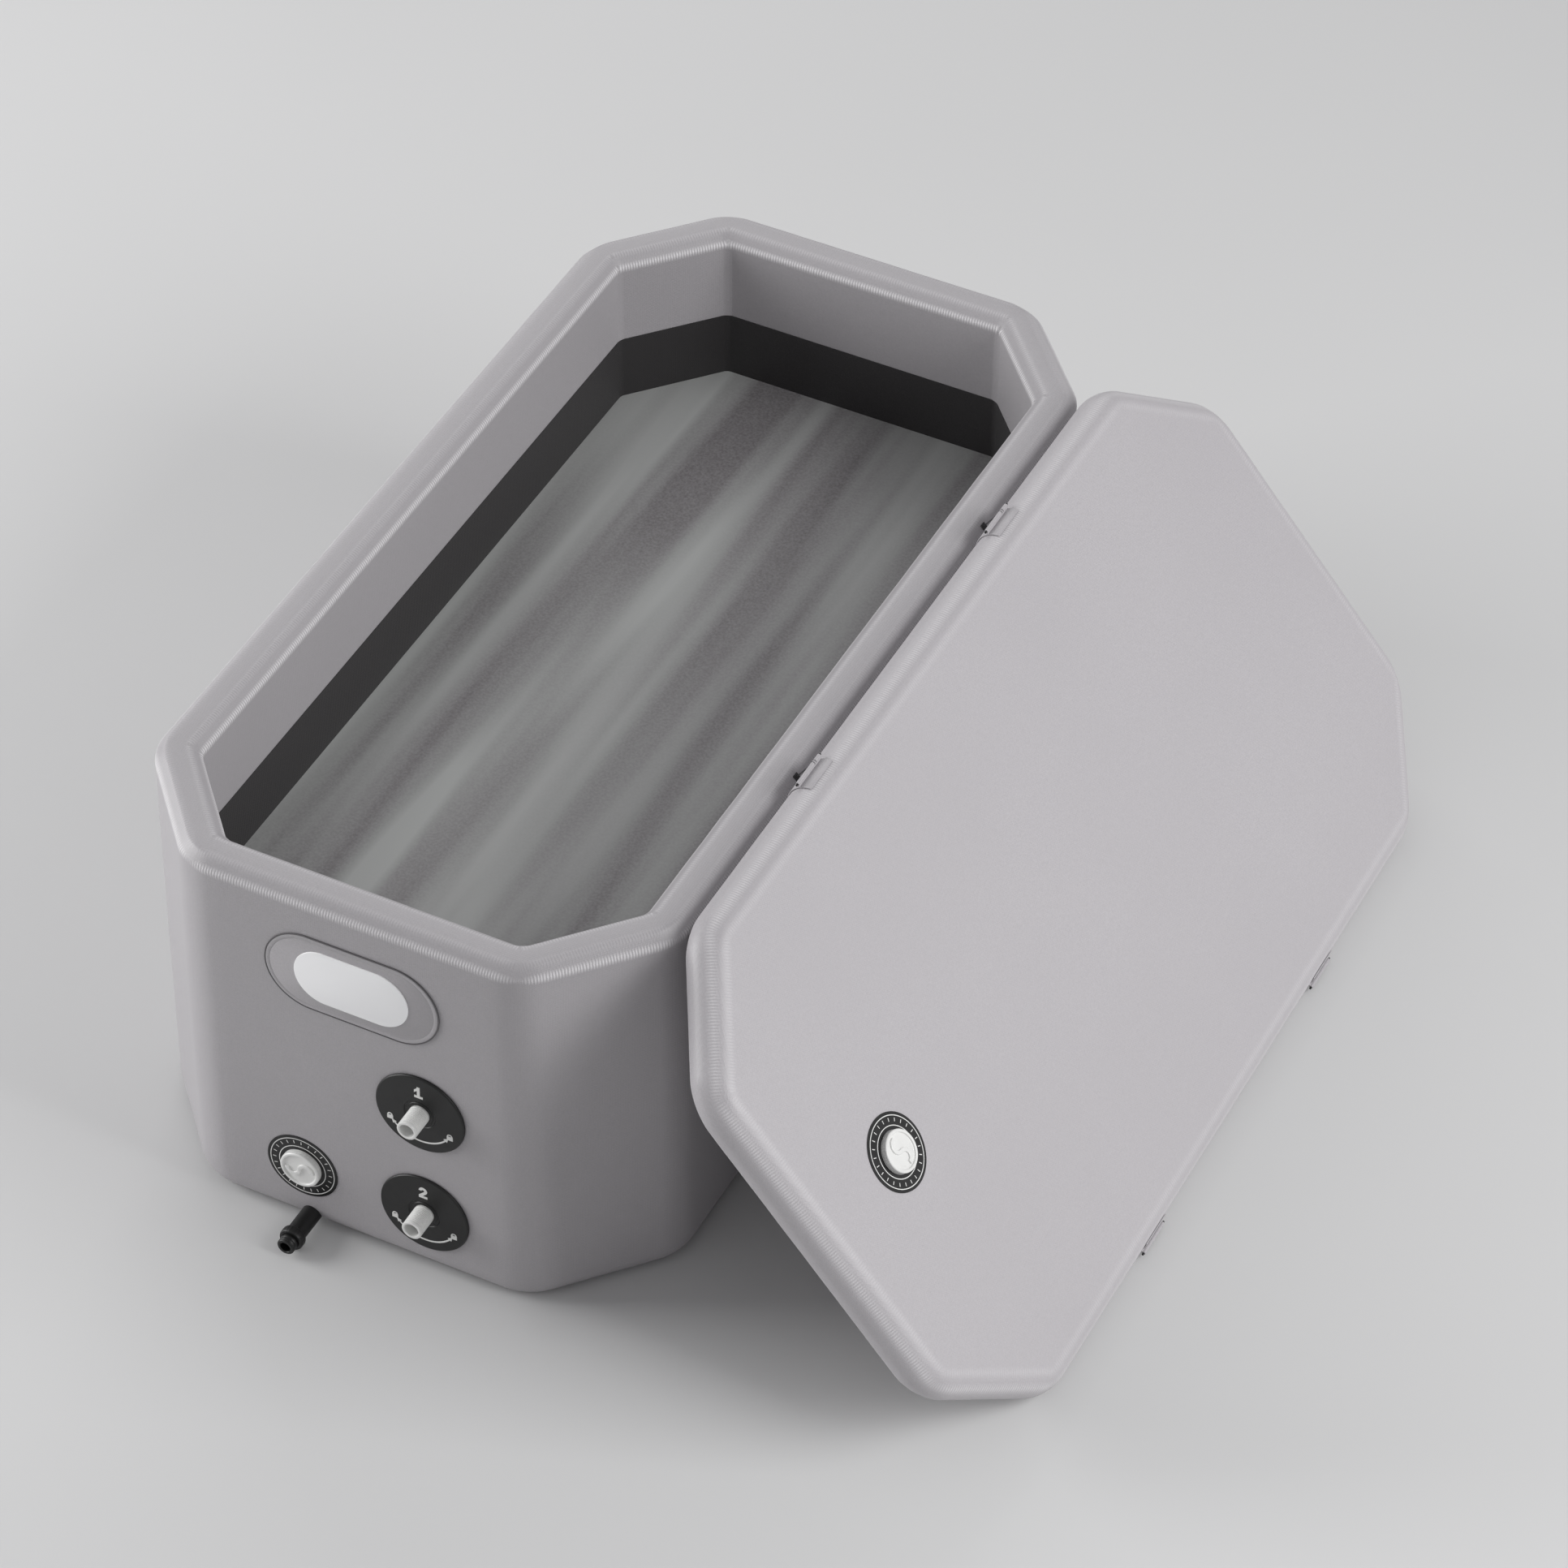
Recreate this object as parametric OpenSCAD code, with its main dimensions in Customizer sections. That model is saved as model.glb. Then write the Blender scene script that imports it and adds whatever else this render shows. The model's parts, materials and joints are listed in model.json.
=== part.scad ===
// Inflatable cold plunge tub with a hinged inflatable lid.
// The long side runs along Y, the lid hangs on the +X side, and the floor is z = 0.
// The origin is the centre of the base.

/* [Tub] */
// Width of the tub over its long walls
tub_w = 800; // [700:5:950]
// Length of the tub over its end walls
tub_l = 1570; // [1400:10:1800]
// Height of the rim above the floor
tub_h = 625; // [560:5:720]
// Thickness of the inflated wall
wall_t = 65; // [55:1:76]
// Chamfer of each corner, along the width
chamfer_x = 150; // [130:2:180]
// Chamfer of each corner, along the length
chamfer_y = 168; // [140:2:200]
// Outer radius where two wall sections meet
corner_r = 80; // [78:1:96]
// Height and width of the slope along both edges of the rim
rim_bevel = 16; // [8:1:20]
// Radius on the ridges of the rim
ridge_r = 9; // [4:1:12]
// Radius along the outer bottom edge
foot_r = 30; // [16:1:40]
// Thickness of the coated fabric
skin_t = 2; // [1:0.25:3]
// Thickness of the inflated floor
floor_t = 68; // [50:1:90]
// Thickness of the sheet under the tub
base_t = 2; // [1:0.5:4]

/* [Inner band] */
// Height of the band's top edge above the floor
band_top = 478; // [430:1:520]
// Height of the band from edge to edge
band_h = 140; // [80:1:200]
// Thickness of the band
band_t = 1.2; // [0.8:0.1:2]

/* [Lid] */
// Thickness of the inflated lid
lid_t = 68; // [56:1:78]
// How far the lid's outline stands out past the tub's
lid_overhang = 12; // [6:1:18]
// Angle at which the open lid leans on the tub
lean_deg = 50.2; // [46:0.2:54]
// Gap between the closed lid and the rim
lid_gap = 0.4; // [0.2:0.1:1]
// Gap between the leaning lid and the wall
lean_gap = 4.8; // [4.6:0.1:8]
// Gap between the leaning lid's lower tabs and the floor
floor_gap = 0.3; // [0.2:0.1:1]
// Distance of the lid's valve from its near end
lid_valve_in = 197; // [170:1:240]

/* [Lid tabs] */
// Width of a tab along the lid's edge
tab_w = 64; // [50:1:80]
// Thickness of a tab
tab_t = 1.6; // [1.2:0.1:1.6]
// Distance of each tab from the middle of the edge
tab_y = 290; // [200:2:360]
// Part of a turn that a tab covers, either side of the middle of the edge
tab_half_deg = 40; // [34:1:44]
// Diameter of the rod sewn into a tab
rod_d = 3; // [2:0.25:3.5]
// How far a rod's ends stand out of its tab
rod_out = 3; // [1:0.5:6]
// Diameter of the cord that ties a tab to the rim
cord_d = 1.2; // [0.8:0.1:1.2]
// Distance between a cord's two strands
cord_gap = 4; // [3:0.5:6]
// Distance of the cord from the middle of its tab
cord_y = 16; // [0:1:18]

/* [Pad and badge] */
// Length of the pad on the near end
pad_w = 260; // [220:2:280]
// Height of the pad
pad_h = 130; // [100:2:150]
// Thickness of the pad
pad_t = 2; // [1:0.25:4]
// Width of the dark border round the pad
border_w = 1.6; // [1:0.2:4]
// Length of the blank badge
badge_w = 172; // [140:2:190]
// Height of the blank badge
badge_h = 92; // [70:2:96]
// Thickness of the badge
badge_t = 1.6; // [1:0.2:3]
// Height of the pad's centre above the floor
pad_z = 491; // [470:1:500]

/* [Water ports] */
// Distance of the ports from the middle of the near end
port_x = 97; // [85:1:110]
// Height of port 1 above the floor
port_1_z = 304; // [280:1:330]
// Height of port 2 above the floor
port_2_z = 112; // [104:1:125]
// Diameter of the black plate
port_plate_d = 135; // [115:1:145]
// Thickness of the plate
port_plate_t = 3.5; // [3:0.25:5]
// Outer diameter of the hose tail
tail_d = 30; // [26:0.5:34]
// Bore of the hose tail
tail_bore_d = 21.5; // [16:0.5:22]
// Length of the hose tail in front of the plate
tail_out = 35; // [25:1:60]
// Outer diameter of the barrel through the wall
barrel_d = 44; // [40:1:52]

/* [Air valves] */
// Distance of the tub's valve from the middle of the near end
tub_valve_x = 94; // [80:1:110]
// Height of the tub's valve above the floor
tub_valve_z = 110; // [102:1:130]
// Diameter of the black label ring
label_d = 109; // [95:1:120]
// Diameter of the white cap
cap_d = 60; // [54:1:64]
// Diameter of the valve's barrel inside the wall
valve_barrel_d = 40; // [36:1:44]
// Number of plain marks round a label ring
label_marks = 24; // [8:1:36]

/* [Drain] */
// Distance of the drain from the middle of the near end
drain_x = 85; // [70:1:100]
// Height of the drain pipe's axis above the floor
drain_z = 20; // [20:0.5:24]
// Outer diameter of the drain pipe
drain_pipe_d = 28; // [24:0.5:30]
// Bore of the drain pipe
drain_bore_d = 20; // [14:0.5:22]
// Outer diameter of the collar
drain_collar_d = 36; // [33:0.5:38]
// Outer diameter of the nozzle
drain_nozzle_d = 26; // [22:0.5:27]
// Bore of the nozzle
drain_nozzle_bore_d = 16; // [10:0.5:20]
// How far the nozzle reaches out of the near end
drain_out = 72; // [60:1:110]
// Diameter of the socket in the floor
drain_socket_d = 40; // [36:1:48]

/* [Hidden] */
$fn = 48;

// Clearances and overruns
overrun = 1;
fit_gap = 0.05;
run_gap = 0.1;
free_gap = 0.3;

// Flat steps on a rounded ridge, on a rounded edge and on a flat plate's corner
ridge_steps = 3;
edge_steps = 9;
plate_steps = 8;
// Lap and step where the pieces of an octagonal body meet
seam_lap = 10;
seam_step = 0.02;

// Colours
shell_grey = "#a9a6aa";
dark_grey = "#2b2a2b";
fitting_black = "#1f1f1f";
fitting_white = "#e4e4e2";
rubber_black = "#161616";
steel = "#b8bcc0";

// Outline of the tub: eight corners, counter-clockwise from the near end's left corner
half_w = tub_w / 2;
half_l = tub_l / 2;
outline = [[-half_w + chamfer_x, -half_l], [half_w - chamfer_x, -half_l],
    [half_w, -half_l + chamfer_y], [half_w, half_l - chamfer_y],
    [half_w - chamfer_x, half_l], [-half_w + chamfer_x, half_l],
    [-half_w, half_l - chamfer_y], [-half_w, -half_l + chamfer_y]];
sides = len(outline);
function unit(a) = a / norm(a);
function side_dir(i) = unit(outline[(i + 1) % sides] - outline[i % sides]);
function inward(d) = [-d[1], d[0]];
function heading(d) = atan2(d[1], d[0]);
// Corner i of the outline moved in from both of its sides by r
function corner_in(i, r) = let (a = inward(side_dir(i + sides - 1)), b = inward(side_dir(i)))
    outline[i % sides] + (a + b) * r / (1 + a * b);

// Points of one corner b of a flat outline a, b, c, rounded with radius r in n steps
function round_corner(a, b, c, r, n) =
    let (u = unit(a - b), w = unit(c - b), half = acos(u * w) / 2, m = b + unit(u + w) * r / sin(half),
        s = heading(b + u * r / tan(half) - m), e = heading(b + w * r / tan(half) - m) - s,
        d = e > 180 ? e - 360 : e < -180 ? e + 360 : e)
    [for (j = [0:n]) m + r * [cos(s + d * j / n), sin(s + d * j / n)]];
// A flat outline p with the radii r at its corners, where zero leaves a corner sharp
function rounded(p, r, n) = let (k = len(p)) [for (i = [0:k - 1])
    each (r[i] <= 0 ? [p[i]] : round_corner(p[(i + k - 1) % k], p[i], p[(i + 1) % k], r[i], n))];

// A solid with the tub's outline, made of a core, eight straight bars and eight round corners.
// A profile's x is measured outward from the centres of the corners, corner_r inside the outline.
// The bars lap over the corners and the core, and each kind of piece stands seam_step inside the next,
// so that no two of their faces coincide.
module octagon_solid(bar_profile, corner_profile, z0, z1) {
    for (i = [0:sides - 1]) {
        here = corner_in(i, corner_r);
        next = corner_in(i + 1, corner_r);
        translate([here[0], here[1], 0]) {
            rotate([0, 0, heading(next - here)]) rotate([90, 0, 90]) linear_extrude(norm(next - here))
                mirror([1, 0]) {
                    polygon(bar_profile);
                    translate([-seam_lap, z0 + seam_step]) square([2 * seam_lap, z1 - z0 - 2 * seam_step]);
                }
            rotate_extrude() polygon(corner_profile);
        }
    }
    translate([0, 0, z0]) linear_extrude(z1 - z0)
        polygon([for (i = [0:sides - 1]) corner_in(i, corner_r - seam_lap / 2)]);
}
// Plain plate with the tub's outline moved in by inset
module octagon_plate(inset, z0, z1) {
    translate([0, 0, z0]) linear_extrude(z1 - z0)
        polygon(rounded([for (i = [0:sides - 1]) corner_in(i, inset)],
            [for (i = [0:sides - 1]) corner_r - inset], plate_steps));
}

// The wall's two surfaces. A positive d moves each into the wall's fabric.
rim_slope_deg = 45;
bevel_shift_share = tan(rim_slope_deg / 2);
function outside_profile(d) = let (x = corner_r - d, s = d * bevel_shift_share)
    rounded([[0, base_t + d], [x, base_t + d], [x, tub_h - rim_bevel - s],
        [x - rim_bevel + d - s, tub_h - d], [0, tub_h - d]],
        [0, foot_r - d, ridge_r - d, ridge_r - d, 0], ridge_steps);
module wall_outside(d) {
    octagon_solid(outside_profile(d + seam_step), outside_profile(d + 2 * seam_step), base_t + d, tub_h - d);
}
inside_z0 = base_t - overrun;
inside_z1 = tub_h + rim_bevel;
function inside_profile(d, step) = let (x = corner_r - wall_t + d - step, s = (d - step) * bevel_shift_share)
    rounded([[0, inside_z0 + step], [x, inside_z0 + step], [x, tub_h - rim_bevel - s],
        [x + rim_bevel - d + step + s, tub_h - d + step],
        [x + wall_t / 2, tub_h - d + overrun], [x + wall_t / 2, inside_z1 - step], [0, inside_z1 - step]],
        [0, 0, ridge_r - d, ridge_r - d, 0, 0, 0], ridge_steps);
module wall_inside(d) {
    octagon_solid(inside_profile(d, seam_step), inside_profile(d, 2 * seam_step), inside_z0, inside_z1);
}

// Places on the near end: x to the right, z out of the wall, y up
module on_end(x, z) { translate([x, -half_l, z]) rotate([90, 0, 0]) children(); }
port_places = [[port_x, port_1_z], [port_x, port_2_z]];

module wall() color(shell_grey) difference() {
    wall_outside(0);
    wall_inside(0);
    difference() {
        wall_outside(skin_t);
        wall_inside(skin_t);
        for (p = port_places) on_end(p[0], p[1]) translate([0, 0, -wall_t - overrun])
            cylinder(d = barrel_d + 2 * fit_gap + 2 * skin_t, h = wall_t + 2 * overrun);
        on_end(-drain_x, drain_z) translate([0, 0, -wall_t - overrun])
            cylinder(d = drain_pipe_d + 2 * fit_gap + 2 * skin_t, h = wall_t + 2 * overrun);
    }
    for (p = port_places) on_end(p[0], p[1]) translate([0, 0, -wall_t - overrun])
        cylinder(d = barrel_d + 2 * fit_gap, h = wall_t + 2 * overrun);
    on_end(-drain_x, drain_z) translate([0, 0, -wall_t - overrun])
        cylinder(d = drain_pipe_d + 2 * fit_gap, h = wall_t + 2 * overrun);
    on_end(-tub_valve_x, tub_valve_z) translate([0, 0, -skin_t - overrun])
        cylinder(d = valve_barrel_d + 2 * fit_gap, h = skin_t + 2 * overrun);
}

// The floor lies inside the wall, on the base sheet
floor_top = base_t + floor_t;
floor_inset = wall_t + free_gap;
drain_y = -half_l + wall_t + drain_socket_d;
module at_drain() { translate([-drain_x, drain_y, 0]) children(); }
// The way that the drain pipe takes through the floor, with the radius r round its socket and pipe
module drain_way(extra) {
    at_drain() translate([0, 0, base_t - overrun])
        cylinder(d = drain_socket_d + 2 * extra, h = floor_t + 2 * overrun);
    translate([-drain_x, drain_y, drain_z]) rotate([90, 0, 0])
        cylinder(d = drain_pipe_d + 2 * extra, h = drain_socket_d + overrun);
}
module floor_panel() color(shell_grey) difference() {
    octagon_plate(floor_inset, base_t, floor_top);
    difference() {
        octagon_plate(floor_inset + skin_t, base_t + skin_t, floor_top - skin_t);
        drain_way(fit_gap + skin_t);
    }
    drain_way(fit_gap);
}
module base_sheet() color(dark_grey) octagon_plate(foot_r, 0, base_t);
module inner_band() color(dark_grey) difference() {
    octagon_plate(wall_t + fit_gap, band_top - band_h, band_top);
    octagon_plate(wall_t + fit_gap + band_t, band_top - band_h - overrun, band_top + overrun);
}

// A flat bar with round ends, w long over all and h high
module pill(w, h, t) {
    translate([-(w - h) / 2, -h / 2, 0]) cube([w - h, h, t]);
    for (s = [-1, 1]) translate([s * (w - h) / 2, 0, 0]) cylinder(d = h, h = t);
}
module handle_pad() color(shell_grey) on_end(0, pad_z) pill(pad_w, pad_h, pad_t);
module pad_border() color(dark_grey) on_end(0, pad_z) difference() {
    pill(pad_w + 2 * (border_w + fit_gap), pad_h + 2 * (border_w + fit_gap), pad_t);
    translate([0, 0, -overrun]) pill(pad_w + 2 * fit_gap, pad_h + 2 * fit_gap, pad_t + 2 * overrun);
}
module badge_plate() color(fitting_white) on_end(0, pad_z)
    translate([0, 0, pad_t]) pill(badge_w, badge_h, badge_t);

// A flat ring between two diameters
module ring(outer_d, inner_d, z0, z1) {
    translate([0, 0, z0]) difference() {
        cylinder(d = outer_d, h = z1 - z0);
        translate([0, 0, -overrun]) cylinder(d = inner_d, h = z1 - z0 + 2 * overrun);
    }
}

// Round holes of diameter d in rings that stand pitch apart, with the number in each ring
module hole_rings(counts, pitch, d, h) {
    for (k = [0:len(counts) - 1]) for (i = [0:counts[k] - 1])
        rotate([0, 0, i * 360 / counts[k]]) translate([k * pitch, 0, 0]) cylinder(d = d, h = h);
}

// Water port, with z = 0 on the wall's face and z outward
gasket_t = 1;
port_flange_d = 60;
port_flange_t = 2;
port_inner_t = 12;
port_nut_d = 66;
port_nut_ribs = 12;
port_nut_rib_d = 5;
port_narrow_d = 24;
tail_flange_d = 40;
tail_flange_t = 5.4;
tail_root = 22;
tail_neck_d = 29;
tail_neck_out = 1;
oring_d = 2;
oring_in = 11;
oring_groove_w = 2.4;
port_gasket_share = 0.9;
strainer_t = 3;
strainer_d = 50;
strainer_hole_d = 5;
strainer_pitch = 8;
strainer_counts = [1, 6, 12];
strainer_spigot_t = 1.6;
strainer_spigot = 8;
mark_t = 0.5;
plate_back = gasket_t;
plate_front = plate_back + port_plate_t;
tail_top = port_flange_t - free_gap;
pocket_z = tail_top - tail_flange_t - free_gap;
inner_face = wall_t + fit_gap;
barrel_end = -inner_face - gasket_t - port_inner_t;
oring_z = pocket_z - oring_in;
oring_groove_d = tail_neck_d + 2 * run_gap - 2 * oring_d - 2 * fit_gap;
module at_port(i) { on_end(port_places[i][0], port_places[i][1]) children(); }
module port_body() difference() {
    union() {
        cylinder(d = port_flange_d, h = port_flange_t);
        translate([0, 0, barrel_end]) cylinder(d = barrel_d, h = -barrel_end + port_flange_t);
    }
    translate([0, 0, pocket_z])
        cylinder(d = tail_flange_d + 2 * free_gap, h = port_flange_t - pocket_z + overrun);
    translate([0, 0, pocket_z - tail_root - free_gap])
        cylinder(d = tail_neck_d + 2 * run_gap, h = tail_root + free_gap + overrun);
    translate([0, 0, barrel_end - overrun]) cylinder(d = port_narrow_d, h = -barrel_end);
}
module port_plate() difference() {
    translate([0, 0, plate_back]) cylinder(d = port_plate_d, h = port_plate_t);
    translate([0, 0, plate_back - overrun])
        cylinder(d = port_flange_d + 2 * fit_gap, h = overrun + port_flange_t - plate_back);
    translate([0, 0, -overrun]) cylinder(d = tail_d + 2 * run_gap, h = plate_front + 2 * overrun);
}
module port_tail() difference() {
    union() {
        translate([0, 0, tail_top - tail_flange_t]) cylinder(d = tail_flange_d, h = tail_flange_t);
        translate([0, 0, pocket_z - tail_root])
            cylinder(d = tail_neck_d, h = tail_root + plate_front + tail_out - pocket_z - overrun);
        translate([0, 0, plate_front + tail_neck_out]) cylinder(d = tail_d, h = tail_out - tail_neck_out);
    }
    translate([0, 0, pocket_z - tail_root - overrun])
        cylinder(d = tail_bore_d, h = tail_root + plate_front + tail_out - pocket_z + 2 * overrun);
    ring(tail_neck_d + 2 * overrun, oring_groove_d, oring_z - oring_groove_w / 2, oring_z + oring_groove_w / 2);
}
module port_oring() translate([0, 0, oring_z])
    rotate_extrude() translate([(oring_groove_d + fit_gap + oring_d) / 2, 0]) circle(d = oring_d - fit_gap);
module port_gasket() ring(port_plate_d * port_gasket_share, port_flange_d + 2 * fit_gap, 0, gasket_t);
module port_inner_gasket() ring(port_nut_d, barrel_d + 2 * fit_gap, -inner_face - gasket_t, -inner_face);
module port_nut() {
    ring(port_nut_d, barrel_d + 2 * fit_gap, barrel_end, -inner_face - gasket_t);
    for (i = [0:port_nut_ribs - 1]) rotate([0, 0, i * 360 / port_nut_ribs])
        translate([port_nut_d / 2, 0, barrel_end]) cylinder(d = port_nut_rib_d, h = port_inner_t);
}
module port_strainer() difference() {
    union() {
        translate([0, 0, barrel_end - strainer_t]) cylinder(d = strainer_d, h = strainer_t);
        ring(port_narrow_d - 2 * fit_gap, port_narrow_d - 2 * fit_gap - 2 * strainer_spigot_t,
            barrel_end - overrun, barrel_end + strainer_spigot);
    }
    translate([0, 0, barrel_end - strainer_t - overrun])
        hole_rings(strainer_counts, strainer_pitch, strainer_hole_d, strainer_t + 2 * overrun);
}

// Raised marks on a port plate: a plain number, a double arrow and two small padlocks
digit_h = 20;
digit_w = 13;
digit_line = 4.4;
digit_foot_share = 0.9;
digit_flag_share = 1.2;
digit_hook_deg = 40;
digit_slant = 6;
digit_y = 41;
arrow_r = 50;
arrow_line = 2.4;
arrow_from = 220;
arrow_to = 320;
arrow_head = 7;
lock_turns = [205, 335];
lock_w = 9;
lock_h = 7;
lock_line = 1.8;
shackle_r = 3.2;
// Part of a ring of mean radius r, from angle a to angle b
module arc_bar(r, line, a, b, t) {
    rotate([0, 0, a]) rotate_extrude(angle = b - a) translate([r - line / 2, 0]) square([line, t]);
}
module digit_one() {
    translate([-digit_line / 2, -digit_h / 2, 0]) cube([digit_line, digit_h, mark_t]);
    translate([0, digit_h / 2, 0]) linear_extrude(mark_t)
        polygon([[0, 0], [-digit_w / 2, -digit_w / 2], [-digit_w / 2, -digit_w / 2 - digit_line],
            [0, -digit_line * digit_flag_share]]);
    translate([-digit_w / 2, -digit_h / 2, 0]) cube([digit_w, digit_line * digit_foot_share, mark_t]);
}
// Outline of the figure two: down its outer side, along its foot and back up its inner side
two_r = digit_w / 2;
two_top = digit_h / 2 - two_r;
two_steps = 12;
function two_arc(r, from, to) = [for (j = [0:two_steps]) let (a = from + (to - from) * j / two_steps)
    [r * cos(a), two_top + r * sin(a)]];
two_outline = concat(two_arc(two_r, 180, -digit_hook_deg),
    [[digit_slant - two_r, digit_line * digit_foot_share - digit_h / 2],
        [two_r, digit_line * digit_foot_share - digit_h / 2], [two_r, -digit_h / 2],
        [-two_r, -digit_h / 2], [-two_r, digit_line - digit_h / 2]],
    two_arc(two_r - digit_line, -digit_hook_deg, 180));
module digit_two() linear_extrude(mark_t) polygon(two_outline);
module padlock() {
    translate([-lock_w / 2, -lock_h, 0]) cube([lock_w, lock_h, mark_t]);
    arc_bar(shackle_r, lock_line, 0, 180, mark_t);
}
module arrow_head(a, s) {
    rotate([0, 0, a]) translate([arrow_r, 0, 0]) linear_extrude(mark_t)
        polygon([[-arrow_head / 2, 0], [arrow_head / 2, 0], [0, s * arrow_head]]);
}
module port_marks(i) translate([0, 0, plate_front]) {
    translate([0, digit_y, 0]) {
        if (i == 0) digit_one();
        else digit_two();
    }
    arc_bar(arrow_r, arrow_line, arrow_from, arrow_to, mark_t);
    arrow_head(arrow_from, -1);
    arrow_head(arrow_to, 1);
    for (a = lock_turns) translate([arrow_r * cos(a), arrow_r * sin(a), 0]) padlock();
}
module port_1_body() color(fitting_black) at_port(0) port_body();
module port_1_plate() color(fitting_black) at_port(0) port_plate();
module port_1_marks() color(fitting_white) at_port(0) port_marks(0);
module port_1_tail() color(fitting_white) at_port(0) port_tail();
module port_1_oring() color(rubber_black) at_port(0) port_oring();
module port_2_body() color(fitting_black) at_port(1) port_body();
module port_2_plate() color(fitting_black) at_port(1) port_plate();
module port_2_marks() color(fitting_white) at_port(1) port_marks(1);
module port_2_tail() color(fitting_white) at_port(1) port_tail();
module port_2_oring() color(rubber_black) at_port(1) port_oring();
module port_gaskets() color(rubber_black) for (i = [0, 1]) at_port(i) port_gasket();
module port_inner_gaskets() color(rubber_black) for (i = [0, 1]) at_port(i) port_inner_gasket();
module port_nuts() color(fitting_black) for (i = [0, 1]) at_port(i) port_nut();
module port_strainers() color(fitting_black) for (i = [0, 1]) at_port(i) port_strainer();

// Air valve, with z = 0 on the skin's face and z outward
label_t = 1;
label_mark_t = 0.25;
label_ring_line = 1.2;
label_outer_share = 0.92;
label_inner_share = 0.67;
label_mark_share = 0.8;
label_mark_w = 1.1;
label_mark_l = 5;
valve_gasket_t = 0.8;
valve_flange_t = 1.7;
cap_rim = 0.5;
valve_flange_d = cap_d - 2 * cap_rim;
neck_d = 48;
neck_h = 4;
valve_bore_d = 30;
seat_bore_d = 22;
seat_t = 2;
valve_depth = 20;
spoke_w = 3;
spoke_t = 4;
spoke_z = -12;
hub_d = 8;
stem_d = 4;
button_d = 12;
button_t = 2;
button_top = 5;
seal_d = 27;
seal_t = 1.2;
disc_t = 2;
valve_nut_d = 56;
valve_nut_t = 8;
spring_wire_d = 1;
spring_turns = 5;
spring_sides = 6;
spring_steps = 8;
cap_top_t = 4;
cap_dish = 2.5;
cap_dish_d = 50;
grip_r = 10;
grip_line = 6;
cap_edge_r = 1.5;
flange_top = valve_gasket_t + valve_flange_t;
neck_top = flange_top + neck_h;
cap_bottom = flange_top + free_gap;
cap_under = neck_top + free_gap;
cap_top = cap_under + cap_top_t;
module valve_label() ring(label_d, cap_d + 2 * free_gap, 0, label_t);
module valve_marks() {
    for (s = [label_outer_share, label_inner_share])
        ring(label_d * s, label_d * s - 2 * label_ring_line, label_t, label_t + label_mark_t);
    for (i = [0:label_marks - 1]) rotate([0, 0, i * 360 / label_marks])
        translate([label_d * label_mark_share / 2 - label_mark_l / 2, -label_mark_w / 2, label_t])
            cube([label_mark_l, label_mark_w, label_mark_t]);
}
module valve_gasket() ring(valve_flange_d, valve_barrel_d + 2 * fit_gap, 0, valve_gasket_t);
// Outline of the body's barrel, flange and neck, turned about its axis
body_profile = [[seat_bore_d / 2, -valve_depth], [valve_barrel_d / 2, -valve_depth],
    [valve_barrel_d / 2, valve_gasket_t], [valve_flange_d / 2, valve_gasket_t],
    [valve_flange_d / 2, flange_top], [neck_d / 2, flange_top], [neck_d / 2, neck_top],
    [valve_bore_d / 2, neck_top], [valve_bore_d / 2, -valve_depth + seat_t],
    [seat_bore_d / 2, -valve_depth + seat_t]];
module valve_body() {
    rotate_extrude() polygon(body_profile);
    difference() {
        union() {
            translate([0, 0, spoke_z]) cylinder(d = hub_d, h = spoke_t);
            for (i = [0:2]) rotate([0, 0, i * 120]) translate([0, -spoke_w / 2, spoke_z + seam_step])
                cube([(valve_bore_d + valve_barrel_d) / 4, spoke_w, spoke_t - 2 * seam_step]);
        }
        translate([0, 0, spoke_z - overrun]) cylinder(d = stem_d + 2 * run_gap, h = spoke_t + 2 * overrun);
    }
}
skin_back = skin_t + fit_gap;
module valve_nut() ring(valve_nut_d, valve_barrel_d + 2 * fit_gap, -skin_back - valve_nut_t, -skin_back);
disc_top = -valve_depth - free_gap - seal_t;
module valve_stem() {
    translate([0, 0, disc_top - disc_t]) cylinder(d = stem_d, h = button_top - disc_top + disc_t);
    translate([0, 0, disc_top - disc_t]) cylinder(d = seal_d, h = disc_t);
    translate([0, 0, button_top - button_t]) cylinder(d = button_d, h = button_t);
}
module valve_seal() ring(seal_d, stem_d + 2 * fit_gap, disc_top, disc_top + seal_t);
// One coil as a single tube of flat sides, between the hub and the button
spring_from = spoke_z + spoke_t + spring_wire_d / 2 + fit_gap;
spring_to = button_top - button_t - spring_wire_d / 2 - fit_gap;
spring_r = (stem_d + button_d) / 4 + spring_wire_d / 4;
spring_rings = spring_turns * spring_steps;
function spring_ring(k) =
    let (a = 360 * k / spring_steps, z = spring_from + (spring_to - spring_from) * k / spring_rings)
    [for (j = [0:spring_sides - 1])
        let (b = 360 * j / spring_sides, r = spring_r + spring_wire_d / 2 * cos(b))
        [r * cos(a), r * sin(a), z + spring_wire_d / 2 * sin(b)]];
spring_points = [for (k = [0:spring_rings]) each spring_ring(k)];
spring_faces = concat(
    [for (k = [0:spring_rings - 1], j = [0:spring_sides - 1])
        let (a = k * spring_sides + j, b = k * spring_sides + (j + 1) % spring_sides)
        [a, a + spring_sides, b]],
    [for (k = [0:spring_rings - 1], j = [0:spring_sides - 1])
        let (a = k * spring_sides + j, b = k * spring_sides + (j + 1) % spring_sides)
        [b, a + spring_sides, b + spring_sides]],
    [[for (j = [0:spring_sides - 1]) j]],
    [[for (j = [spring_sides - 1:-1:0]) spring_rings * spring_sides + j]]);
echo(least_gap_between_spring_turns = (spring_to - spring_from) / spring_turns - spring_wire_d);
module valve_spring() polyhedron(points = spring_points, faces = spring_faces, convexity = 8);
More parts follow.
